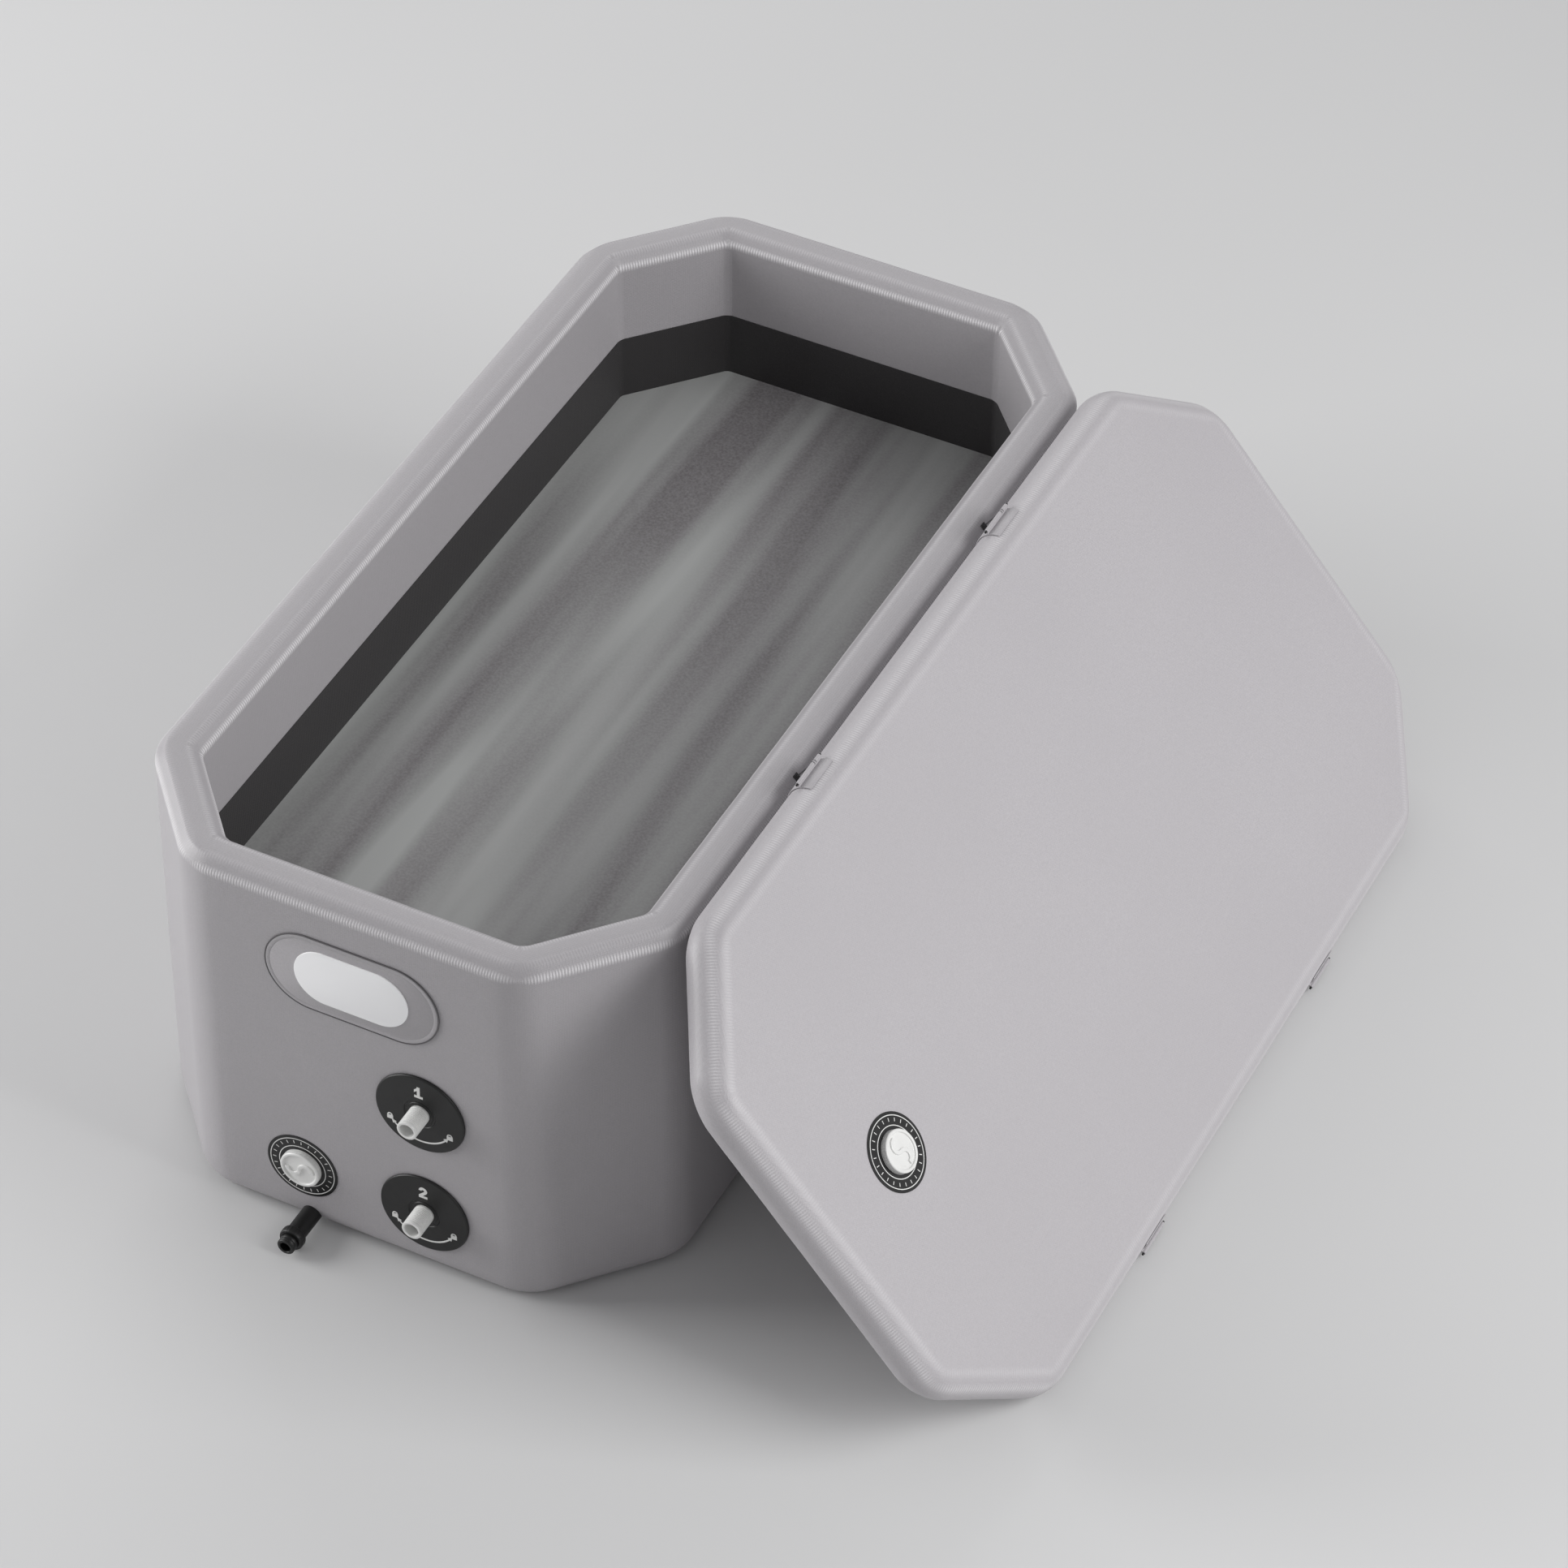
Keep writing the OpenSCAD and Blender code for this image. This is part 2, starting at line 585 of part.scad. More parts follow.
module valve_cap() {
    difference() {
        rotate_extrude() polygon(rounded([[0, cap_bottom], [cap_d / 2, cap_bottom],
            [cap_d / 2, cap_top], [0, cap_top]], [0, 0, cap_edge_r, 0], ridge_steps));
        translate([0, 0, cap_bottom - overrun])
            cylinder(d = neck_d + 2 * free_gap, h = cap_under - cap_bottom + overrun);
        translate([0, 0, cap_top - cap_dish]) cylinder(d = cap_dish_d, h = cap_dish + overrun);
    }
    // S-shaped grip in the dish
    translate([0, 0, cap_top - cap_dish - overrun / 2]) {
        translate([-grip_r, 0, 0]) arc_bar(grip_r, grip_line, 0, 180, cap_dish + overrun / 2);
        translate([grip_r, 0, 0]) arc_bar(grip_r, grip_line, 180, 360, cap_dish + overrun / 2);
    }
}
module at_tub_valve() { on_end(-tub_valve_x, tub_valve_z) children(); }
module tub_valve_label() color(fitting_black) at_tub_valve() valve_label();
module tub_valve_marks() color(fitting_white) at_tub_valve() valve_marks();
module tub_valve_gasket() color(rubber_black) at_tub_valve() valve_gasket();
module tub_valve_body() color(fitting_white) at_tub_valve() valve_body();
module tub_valve_nut() color(fitting_white) at_tub_valve() valve_nut();
module tub_valve_stem() color(fitting_white) at_tub_valve() valve_stem();
module tub_valve_seal() color(rubber_black) at_tub_valve() valve_seal();
module tub_valve_spring() color(steel) at_tub_valve() valve_spring();
module tub_valve_cap() color(fitting_white) at_tub_valve() valve_cap();

// Drain: a socket in the floor, and a pipe that leads out under the near wall
drain_wall_t = 3;
drain_cover_d = 64;
drain_cover_t = 3;
drain_gasket_t = 0.8;
drain_spigot = 12;
drain_pitch = 8;
drain_counts = [1, 6];
drain_sump = 1.5;
drain_hole_d = 5;
drain_pipe_out = 50;
collar_before = 6;
collar_after = 5;
nozzle_lip = 3;
nozzle_neck_d = 25;
nozzle_neck = 9;
module drain_pipe() color(fitting_black) difference() {
    union() {
        at_drain() translate([0, 0, base_t + fit_gap])
            cylinder(d = drain_socket_d, h = floor_top - base_t - fit_gap);
        translate([-drain_x, drain_y, drain_z]) rotate([90, 0, 0])
            cylinder(d = drain_pipe_d, h = half_l + drain_y + drain_pipe_out);
    }
    at_drain() translate([0, 0, drain_z - drain_bore_d / 2 - drain_sump])
        cylinder(d = drain_socket_d - 2 * drain_wall_t, h = floor_top);
    translate([-drain_x, drain_y, drain_z]) rotate([90, 0, 0])
        cylinder(d = drain_bore_d, h = half_l + drain_y + drain_pipe_out + overrun);
}
module drain_floor_gasket() color(rubber_black) at_drain()
    ring(drain_cover_d, drain_socket_d, floor_top, floor_top + drain_gasket_t);
module drain_strainer() color(fitting_black) at_drain() difference() {
    union() {
        translate([0, 0, floor_top + drain_gasket_t]) cylinder(d = drain_cover_d, h = drain_cover_t);
        ring(drain_socket_d - 2 * drain_wall_t - 2 * fit_gap, drain_socket_d - 4 * drain_wall_t,
            floor_top - drain_spigot, floor_top + drain_gasket_t + overrun);
    }
    translate([0, 0, floor_top - overrun])
        hole_rings(drain_counts, drain_pitch, drain_hole_d, drain_gasket_t + drain_cover_t + 2 * overrun);
}
module at_drain_pipe() { on_end(-drain_x, drain_z) children(); }
module drain_collar() color(fitting_black) at_drain_pipe() difference() {
    translate([0, 0, drain_pipe_out - collar_before])
        cylinder(d = drain_collar_d, h = collar_before + nozzle_lip + collar_after);
    translate([0, 0, -overrun])
        cylinder(d = drain_pipe_d + 2 * fit_gap, h = drain_pipe_out + nozzle_lip + overrun);
    translate([0, 0, drain_pipe_out]) cylinder(d = drain_nozzle_d + 2 * fit_gap, h = drain_out);
}
module drain_nozzle() color(fitting_black) at_drain_pipe() difference() {
    union() {
        translate([0, 0, drain_pipe_out]) cylinder(d = drain_pipe_d, h = nozzle_lip);
        translate([0, 0, drain_pipe_out]) cylinder(d = nozzle_neck_d, h = drain_out - drain_pipe_out - overrun);
        translate([0, 0, drain_pipe_out + nozzle_neck])
            cylinder(d = drain_nozzle_d, h = drain_out - drain_pipe_out - nozzle_neck);
    }
    translate([0, 0, drain_pipe_out - overrun]) cylinder(d = drain_nozzle_bore_d, h = drain_out);
}

// Lid. Its own frame lies flat, with the valve's face up and the hinge along its -X edge.
lid_r = lid_t / 2;
edge_flat = 1;
lid_half_w = half_w + lid_overhang;
lid_half_l = half_l + lid_overhang;
// Radii of the tabs round the lid's edge; the open lid stands on the two lower ones
tab_in_r = lid_r + free_gap;
tab_out_r = tab_in_r + tab_t;
// The hinge axis is where one turn takes the lid from leaning on the wall to lying on the rim
lean_c = cos(lean_deg);
lean_s = sin(lean_deg);
closed_z = tub_h + lid_gap + lid_r;
reach = lid_half_w - lid_r;
lean_sum_x = half_w + lid_r + lean_gap + reach * lean_c + closed_z * lean_s;
lean_sum_z = floor_gap + tab_out_r + reach * lean_s + closed_z * lean_c;
axis_x = ((1 + lean_c) * lean_sum_x - lean_s * lean_sum_z) / (2 * (1 + lean_c));
axis_z = (lean_s * lean_sum_x + (1 + lean_c) * lean_sum_z) / (2 * (1 + lean_c));
// The same axis in the lid's own frame
axis_in_x = -axis_x;
axis_in_z = tub_h + lid_gap + lid_t - axis_z;
echo(hinge_axis_x = axis_x, hinge_axis_z = axis_z, closed_deg = 180 + lean_deg);
module place_lid() {
    translate([axis_x, 0, axis_z]) rotate([0, lean_deg, 0]) translate([-axis_in_x, 0, -axis_in_z]) children();
}
function lid_profile(d) = let (x = corner_r + lid_overhang - d)
    rounded([[0, d], [x, d], [x, lid_t - d], [0, lid_t - d]],
        [0, lid_r - d - edge_flat / 2, lid_r - d - edge_flat / 2, 0], edge_steps);
module lid_shape(d) {
    octagon_solid(lid_profile(d + seam_step), lid_profile(d + 2 * seam_step), d, lid_t - d);
}
module lid_panel() color(shell_grey) place_lid() difference() {
    lid_shape(0);
    lid_shape(skin_t);
    at_lid_valve() translate([0, 0, -skin_t - overrun])
        cylinder(d = valve_barrel_d + 2 * fit_gap, h = skin_t + 2 * overrun);
}
module at_lid_valve() { translate([0, -lid_half_l + lid_valve_in, lid_t]) children(); }

// A tab follows the lid's round edge and holds a rod in a tunnel on its outside
tunnel_t = 1.2;
tunnel_d = rod_d + 2 * run_gap + 2 * tunnel_t;
rod_from_edge = [axis_in_x + lid_half_w - lid_r, axis_in_z - lid_r];
slot_gap = 1.5;
cord_loop_d = rod_d + 2 * run_gap + 2 * cord_d;
// The tab's own frame: origin on the centre of the lid's round edge, -X outward
module tab_wedge(r) {
    linear_extrude(tab_w) polygon([[0, 0], [-r * cos(tab_half_deg), r * sin(tab_half_deg)],
        [-r / cos(tab_half_deg), 0], [-r * cos(tab_half_deg), -r * sin(tab_half_deg)]]);
}
module tab() difference() {
    translate([0, tab_w / 2, 0]) rotate([90, 0, 0]) union() {
        intersection() {
            cylinder(r = tab_out_r, h = tab_w);
            tab_wedge(2 * tab_out_r);
        }
        translate([rod_from_edge[0], rod_from_edge[1], seam_step])
            cylinder(d = tunnel_d, h = tab_w - 2 * seam_step);
        rotate([0, 0, heading(rod_from_edge)]) translate([tab_in_r + tab_t / 2, -tunnel_d / 4, 2 * seam_step])
            cube([norm(rod_from_edge) - tab_in_r - tab_t / 2, tunnel_d / 2, tab_w - 4 * seam_step]);
    }
    translate([0, tab_w / 2 + overrun, 0]) rotate([90, 0, 0]) {
        cylinder(r = tab_in_r, h = tab_w + 2 * overrun);
        translate([rod_from_edge[0], rod_from_edge[1], 0])
            cylinder(d = rod_d + 2 * run_gap, h = tab_w + 2 * overrun);
    }
    translate([rod_from_edge[0], cord_y + cord_gap / 2 + cord_d / 2 + slot_gap, rod_from_edge[1]])
        rotate([90, 0, 0]) cylinder(d = cord_loop_d + 2 * slot_gap, h = cord_gap + cord_d + 2 * slot_gap);
}
module on_hinge_edge(y) { translate([-lid_half_w + lid_r, y, lid_r]) children(); }
module on_free_edge(y) { mirror([1, 0, 0]) on_hinge_edge(y) children(); }
module tab_rod() translate([rod_from_edge[0], tab_w / 2 + rod_out, rod_from_edge[1]])
    rotate([90, 0, 0]) cylinder(d = rod_d, h = tab_w + 2 * rod_out);
module hinge_tabs() color(shell_grey) place_lid() for (s = [-1, 1]) on_hinge_edge(s * tab_y) tab();
module closing_tabs() color(shell_grey) place_lid() for (s = [-1, 1]) on_free_edge(s * tab_y) tab();
module tab_rods() color(dark_grey) place_lid() for (s = [-1, 1]) {
    on_hinge_edge(s * tab_y) tab_rod();
    on_free_edge(s * tab_y) tab_rod();
}
// A cord's two strands come out of a patch on the rim's slope and loop round the rod of their tab.
// They run midway between the lid's two places, leaning and closed.
lid_edge_leaning = [half_w + lean_gap + lid_r, floor_gap + tab_out_r + 2 * reach * lean_s];
lid_edge_closed = [reach, closed_z];
hinge_at = [axis_x, axis_z];
cord_run = unit(lid_edge_leaning + lid_edge_closed - 2 * hinge_at);
cord_l = (axis_x + axis_z - half_w + rim_bevel - tub_h) / -(cord_run[0] + cord_run[1]);
patch_w = 10;
patch_l = 8;
patch_t = 0.8;
patch_lift = 2 * fit_gap;
loop_share = 1.2;
loop_w = cord_d * loop_share;
cord_foot = hinge_at + cord_run * cord_l;
module strand() {
    translate([axis_x, 0, axis_z]) rotate([0, 90 - heading(cord_run), 0])
        translate([0, 0, (rod_d + cord_d) / 2 + run_gap])
            cylinder(d = cord_d, h = cord_l - (rod_d + cord_d) / 2 - run_gap - patch_t / 2);
    translate([axis_x, loop_w / 2, axis_z]) rotate([90, 0, 0]) difference() {
        cylinder(d = cord_loop_d, h = loop_w);
        translate([0, 0, -overrun]) cylinder(d = rod_d + 2 * run_gap, h = loop_w + 2 * overrun);
    }
}
module hinge_loop() {
    for (s = [-1, 1]) translate([0, s * cord_gap / 2, 0]) strand();
    translate([cord_foot[0], 0, cord_foot[1]]) rotate([0, rim_slope_deg, 0])
        translate([-patch_l / 2, -patch_w / 2, patch_lift]) cube([patch_l, patch_w, patch_t]);
}
module hinge_loops() color(dark_grey) for (s = [-1, 1]) translate([0, s * tab_y + cord_y, 0]) hinge_loop();

module lid_valve_label() color(fitting_black) place_lid() at_lid_valve() valve_label();
module lid_valve_marks() color(fitting_white) place_lid() at_lid_valve() valve_marks();
module lid_valve_gasket() color(rubber_black) place_lid() at_lid_valve() valve_gasket();
module lid_valve_body() color(fitting_white) place_lid() at_lid_valve() valve_body();
module lid_valve_nut() color(fitting_white) place_lid() at_lid_valve() valve_nut();
module lid_valve_stem() color(fitting_white) place_lid() at_lid_valve() valve_stem();
module lid_valve_seal() color(rubber_black) place_lid() at_lid_valve() valve_seal();
module lid_valve_spring() color(steel) place_lid() at_lid_valve() valve_spring();
module lid_valve_cap() color(fitting_white) place_lid() at_lid_valve() valve_cap();

wall();
floor_panel();
base_sheet();
inner_band();
handle_pad();
pad_border();
badge_plate();
port_1_body();
port_1_plate();
port_1_marks();
port_1_tail();
port_1_oring();
port_2_body();
port_2_plate();
port_2_marks();
port_2_tail();
port_2_oring();
port_gaskets();
port_inner_gaskets();
port_nuts();
port_strainers();
tub_valve_label();
tub_valve_marks();
tub_valve_gasket();
tub_valve_body();
tub_valve_nut();
tub_valve_stem();
tub_valve_seal();
tub_valve_spring();
tub_valve_cap();
lid_valve_label();
lid_valve_marks();
lid_valve_gasket();
lid_valve_body();
lid_valve_nut();
lid_valve_stem();
lid_valve_seal();
lid_valve_spring();
lid_valve_cap();
drain_pipe();
drain_strainer();
drain_floor_gasket();
drain_collar();
drain_nozzle();
lid_panel();
hinge_tabs();
closing_tabs();
tab_rods();
hinge_loops();
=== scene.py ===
import json
import math

import bmesh
import bpy
from mathutils import Matrix, Vector, noise


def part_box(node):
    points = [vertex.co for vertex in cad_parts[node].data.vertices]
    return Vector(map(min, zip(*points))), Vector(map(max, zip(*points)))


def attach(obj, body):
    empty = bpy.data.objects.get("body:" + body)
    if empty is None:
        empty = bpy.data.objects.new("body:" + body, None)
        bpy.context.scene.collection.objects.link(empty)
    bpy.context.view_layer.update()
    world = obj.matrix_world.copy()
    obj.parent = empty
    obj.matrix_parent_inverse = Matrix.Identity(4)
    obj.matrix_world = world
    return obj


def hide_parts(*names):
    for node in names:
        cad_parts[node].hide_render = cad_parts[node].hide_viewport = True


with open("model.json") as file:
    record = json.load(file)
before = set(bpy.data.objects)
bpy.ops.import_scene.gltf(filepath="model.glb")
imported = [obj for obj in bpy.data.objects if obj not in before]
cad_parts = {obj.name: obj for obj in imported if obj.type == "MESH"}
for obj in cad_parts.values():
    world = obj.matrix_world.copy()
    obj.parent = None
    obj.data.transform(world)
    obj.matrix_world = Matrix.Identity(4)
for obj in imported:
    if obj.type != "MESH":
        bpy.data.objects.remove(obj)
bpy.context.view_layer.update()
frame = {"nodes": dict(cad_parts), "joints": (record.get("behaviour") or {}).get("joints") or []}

bl_info = {
    "name": "Cold plunge tub",
    "version": (1, 0, 0),
    "blender": (4, 5, 0),
    "location": "View3D > Sidebar > Plunge tub",
    "description": "Dresses the packed inflatable tub with fabric, fittings, water, floor and light",
    "category": "Object",
}

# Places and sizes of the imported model, in metres
JOINTS = {j["name"]: j for j in frame["joints"]}
WALL_LOW, WALL_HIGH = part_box("wall")
HALF_W, HALF_L, TUB_H = WALL_HIGH.x, WALL_HIGH.y, WALL_HIGH.z
BASE_T = WALL_LOW.z
WALL_T = 0.065
CHAMFER_X, CHAMFER_Y = 0.150, 0.168
CORNER_R = 0.080
RIM_BEVEL, RIDGE_R, FOOT_R = 0.016, 0.009, 0.030
LID_T, LID_OVERHANG, LID_GAP = 0.068, 0.012, 0.0004
HINGE = Vector(JOINTS["lid_hinge"]["pos_m"])
LEAN = math.radians(JOINTS["lid_hinge"]["range_deg"][1] - 180)
LID_VALVE_IN = 0.197
TAB_Y, TAB_W, TAB_T, TAB_HALF = 0.290, 0.064, 0.0016, math.radians(40)
TAB_GAP = FLOOR_GAP = 0.0003
# How deep the rounded corners of the floor and of the lid lie inside their outlines, with some spare
FLOOR_ARC, LID_ARC = 0.003, 0.012
ROD_D, ROD_GAP, TUNNEL_T = 0.003, 0.0001, 0.0012
PORTS = {1: (0.097, 0.304), 2: (0.097, 0.112)}
VALVE, DRAIN, PAD = (-0.094, 0.110), (-0.085, 0.020), (0.0, 0.491)
PLATE_BACK, PLATE_FRONT = 0.001, 0.0045
# The lid's skin stays this far inside its solid
LIP = 0.00002
# Tolerances: points that are merged, points that count as one place, directions that count as level or upright
MERGE, NEAR, UPRIGHT = 5e-6, 1e-5, 0.9
# Edges from one length to another, and the cuts that divide them
COLUMNS = ((0.9, 9.0, 47), (0.3, 0.9, 19), (0.08, 0.3, 7))
# Heights of the rows of points on the wall
ROWS = (0.036, 0.060, 0.10, 0.17, 0.25, 0.33, 0.41, 0.48, 0.53, 0.57, 0.59, 0.598, 0.603)
# How many times a seam's reach its pucker spreads, and its waves per metre along and across
PUCKER_REACH, WAVES_ALONG, WAVES_ACROSS = 2.5, 22, 9


def on_end(place):
    """The matrix that puts a fitting's own frame on the near end: x to the right, y up, z out of the wall."""
    return Matrix.Translation((place[0], -HALF_L, place[1])) @ Matrix.Rotation(math.pi / 2, 4, "X")


# The lid's own frame lies flat, with its valve's face up and its hinge along -X
LID_FRAME = (Matrix.Translation(HINGE) @ Matrix.Rotation(LEAN, 4, "Y")
             @ Matrix.Translation((HINGE.x, 0, HINGE.z - TUB_H - LID_GAP - LID_T)))
LID_VALVE = LID_FRAME @ Matrix.Translation((0, -HALF_L - LID_OVERHANG + LID_VALVE_IN, LID_T))
VALVES = {"tub": on_end(VALVE), "lid": LID_VALVE}

# The camera as solved from the photograph: place, right, up and forward
CAMERA_AT = (2.972, -5.515, 6.002)
CAMERA_AXES = ((0.89229, 0.45138, 0.0089), (-0.31225, 0.60277, 0.73428), (-0.32608, 0.65797, -0.67879))
CAMERA_LENS, CAMERA_SENSOR = 137.16, 36.0

# Soft lights: name, place, the point they look at, size and power
LIGHTS = (("left_window", (-4.8, -1.8, 1.8), (0, 0, 0.4), 3.0, 215),
          ("back_window", (-2.6, 3.6, 3.6), (0, 0, 0.4), 3.0, 50),
          ("right_window", (5.2, 0.2, 3.4), (0.4, 0, 0.3), 3.4, 225))
SKY_COLOUR, SKY_STRENGTH = "#f2f2f4", 0.41
FLOOR_SIZE, FLOOR_Z = 60, -0.0004


def linear(code):
    """An sRGB hex colour as linear red, green and blue."""
    parts = [int(code[i:i + 2], 16) / 255 for i in (1, 3, 5)]
    return tuple(p / 12.92 if p <= 0.04045 else ((p + 0.055) / 1.055) ** 2.4 for p in parts)


# Settings

class PlungeShape(bpy.types.PropertyGroup):
    """Sizes of what Blender adds to the solids"""
    rib_pitch: bpy.props.FloatProperty(
        name="Rib pitch", description="Distance between the gathered ribs along a seam", default=0.0042,
        min=0.002, max=0.01, unit="LENGTH")
    face_crown: bpy.props.FloatProperty(
        name="Face crown", description="How far the inflated faces stand proud between their seams",
        default=0.0012, min=0.0, max=0.004, unit="LENGTH")
    seam_pucker: bpy.props.FloatProperty(
        name="Seam pucker", description="Depth of the slow waves along the seams", default=0.0007,
        min=0.0, max=0.003, unit="LENGTH")
    water_z: bpy.props.FloatProperty(
        name="Water level", description="Height of the water in the picture above the floor", default=0.372,
        min=0.1, max=0.55, unit="LENGTH")
    tail_ribs: bpy.props.IntProperty(
        name="Tail ribs", description="Number of fine ribs round each hose tail", default=11, min=0, max=20)


class PlungeFinish(bpy.types.PropertyGroup):
    """Colours of the finishes"""
    shell: bpy.props.FloatVectorProperty(
        name="Shell", description="Coated fabric of the wall, floor and lid", subtype="COLOR", size=3,
        min=0.0, max=1.0, default=linear("#a9a6a9"))
    # Painted highlight: a near-white colour laid along the ridges of the rim and lid, broken up by the ribs
    seam_highlight: bpy.props.FloatVectorProperty(
        name="Seam highlight", description="Painted highlight along the welded seams", subtype="COLOR", size=3,
        min=0.0, max=1.0, default=linear("#efedef"))
    band: bpy.props.FloatVectorProperty(
        name="Band", description="Dark coated strip", subtype="COLOR", size=3, min=0.0, max=1.0,
        default=linear("#2c2a2b"))
    moulded: bpy.props.FloatVectorProperty(
        name="Black plastic", description="Moulded black fittings", subtype="COLOR", size=3, min=0.0, max=1.0,
        default=linear("#131313"))
    pearl: bpy.props.FloatVectorProperty(
        name="White plastic", description="Moulded white fittings", subtype="COLOR", size=3, min=0.0, max=1.0,
        default=linear("#e6e6e4"))
    studio: bpy.props.FloatVectorProperty(
        name="Studio floor", description="Seamless paper under the tub", subtype="COLOR", size=3, min=0.0,
        max=1.0, default=linear("#d5d5d5"))


# Modelling helpers

def deselect():
    """Leaves edit mode and deselects everything."""
    if bpy.context.object and bpy.context.object.mode != "OBJECT":
        bpy.ops.object.mode_set(mode="OBJECT")
    bpy.ops.object.select_all(action="DESELECT")


def started(name):
    """Names the primitive that was just added and enters edit mode on it."""
    o = bpy.context.object
    o.name = name
    o.data.name = name
    bpy.ops.object.transform_apply(location=True, rotation=True, scale=True)
    bpy.ops.object.mode_set(mode="EDIT")
    return o


def pick(o, kind, test):
    """Selects in edit mode the vertices, edges or faces that pass the test."""
    bpy.ops.mesh.select_mode(type=kind)
    bpy.ops.mesh.select_all(action="DESELECT")
    bm = bmesh.from_edit_mesh(o.data)
    for item in {"VERT": bm.verts, "EDGE": bm.edges, "FACE": bm.faces}[kind]:
        if test(item):
            item.select_set(True)
    bmesh.update_edit_mesh(o.data)


def middle(item):
    """Middle of an edge or face."""
    return sum((v.co for v in item.verts), Vector()) / len(item.verts)


def level(face):
    """Whether a face lies level."""
    return abs(face.normal.z) > UPRIGHT


def flat(edge):
    """Whether an edge lies level."""
    return abs(edge.verts[0].co.z - edge.verts[1].co.z) < NEAR


def finish_piece(o, body, finish, node, matrix=None, smooth=30):
    """Merges and shades the piece, moves its mesh to its place, and lets it stand for the node on its body."""
    if o.mode != "EDIT":
        bpy.ops.object.mode_set(mode="EDIT")
    bpy.ops.mesh.select_mode(type="VERT")
    bpy.ops.mesh.select_all(action="SELECT")
    bpy.ops.mesh.remove_doubles(threshold=MERGE)
    bpy.ops.mesh.normals_make_consistent(inside=False)
    bpy.ops.object.mode_set(mode="OBJECT")
    if matrix is not None:
        o.data.transform(matrix)
    bpy.ops.object.shade_smooth_by_angle(angle=math.radians(smooth))
    o.data.materials.clear()
    o.data.materials.append(FINISHES[finish])
    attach(o, body)
    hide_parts(node)
    deselect()


def turned(name, rings, steps=96):
    """A body turned about Z: a circle extruded through (radius, height) and back to its first ring."""
    deselect()
    r0, z0 = rings[0]
    bpy.ops.mesh.primitive_circle_add(vertices=steps, radius=r0, location=(0, 0, z0))
    o = started(name)
    bpy.ops.mesh.select_all(action="SELECT")
    at_r, at_z = r0, z0
    for r, z in rings[1:] + rings[:1]:
        bpy.ops.mesh.extrude_edges_move()
        bpy.ops.transform.resize(value=(r / at_r, r / at_r, 1), center_override=(0, 0, at_z))
        bpy.ops.transform.translate(value=(0, 0, z - at_z))
        at_r, at_z = r, z
    return o


def octagon_corners(inset):
    """The tub's eight corners moved in by inset, counter-clockwise."""
    w, l, in_x, in_y = HALF_W, HALF_L, HALF_W - CHAMFER_X, HALF_L - CHAMFER_Y
    p = [Vector(q) for q in ((-in_x, -l), (in_x, -l), (w, -in_y), (w, in_y),
                             (in_x, l), (-in_x, l), (-w, in_y), (-w, -in_y))]
    out = []
    for i in range(8):
        d0, d1 = (p[i] - p[i - 1]).normalized(), (p[(i + 1) % 8] - p[i]).normalized()
        n0, n1 = Vector((-d0.y, d0.x)), Vector((-d1.y, d1.x))
        out.append(p[i] + (n0 + n1) * inset / (1 + n0.dot(n1)))
    return out


def octagon_block(name, inset, low, high, segments=7):
    """A block with the tub's outline moved in by inset: a cube with its corners cut off, and rounded."""
    p = octagon_corners(inset)
    deselect()
    size = (2 * (HALF_W - inset), 2 * (HALF_L - inset), high - low)
    bpy.ops.mesh.primitive_cube_add(size=1, location=(0, 0, (low + high) / 2), scale=size)
    o = started(name)
    for a, b in ((1, 2), (3, 4), (5, 6), (7, 0)):
        d = (p[b] - p[a]).normalized()
        bpy.ops.mesh.select_all(action="SELECT")
        bpy.ops.mesh.bisect(plane_co=(p[a].x, p[a].y, 0), plane_no=(d.y, -d.x, 0), use_fill=True,
                            clear_outer=True)
    radius = CORNER_R - inset
    turn = math.atan2(CHAMFER_X, CHAMFER_Y)
    for side, angle in ((0, turn), (1, math.pi / 2 - turn)):
        def upright(e):
            v = e.verts[1].co - e.verts[0].co
            m = middle(e)
            away = abs(m.x) - HALF_W + inset if side == 0 else abs(m.y) - HALF_L + inset
            corner = any((m.xy - q).length < 10 * NEAR for q in p)
            return abs(v.z) > UPRIGHT * v.length and abs(away) < NEAR and corner
        pick(o, "EDGE", upright)
        bpy.ops.mesh.bevel(offset=radius * math.tan(angle / 2), segments=segments, affect="EDGES")
    return o


OUTLINE = [(a, (b - a).normalized(), (b - a).length) for a, b in
           zip(octagon_corners(0), octagon_corners(0)[1:] + octagon_corners(0)[:1])]
OUTLINE_LENGTH = sum(length for _, _, length in OUTLINE)


def outline_place(x, y):
    """A point's depth inside the sharp outline, and its run along it."""
    best, run = None, 0.0
    for a, d, length in OUTLINE:
        qx, qy = x - a.x, y - a.y
        depth = d.x * qy - d.y * qx
        if best is None or depth < best[0]:
            best = (depth, run + qx * d.x + qy * d.y)
        run += length
    return best


def outline_depth(co):
    """Depth of a point inside the sharp outline."""
    return outline_place(co.x, co.y)[0]


def seam_map(o):
    """Two UV maps in metres: the run round the outline, and the depth and height in the wall's section."""
    layer, section = o.data.uv_layers.new(name="seam"), o.data.uv_layers.new(name="section")
    places = [outline_place(v.co.x, v.co.y) for v in o.data.vertices]
    for f in o.data.polygons:
        corners = [(k, o.data.loops[k].vertex_index) for k in f.loop_indices]
        longest = max(places[v][1] for _, v in corners)
        for k, v in corners:
            depth, run = places[v]
            if longest - run > OUTLINE_LENGTH / 2:
                run += OUTLINE_LENGTH
            layer.data[k].uv = (run, 0)
            section.data[k].uv = (depth, o.data.vertices[v].co.z)


def divided(o, test):
    """Cuts the long edges that pass the test into even parts."""
    for least, most, cuts in COLUMNS:
        pick(o, "EDGE", lambda e: least < (e.verts[0].co - e.verts[1].co).length < most and test(e))
        bpy.ops.mesh.subdivide(number_cuts=cuts)


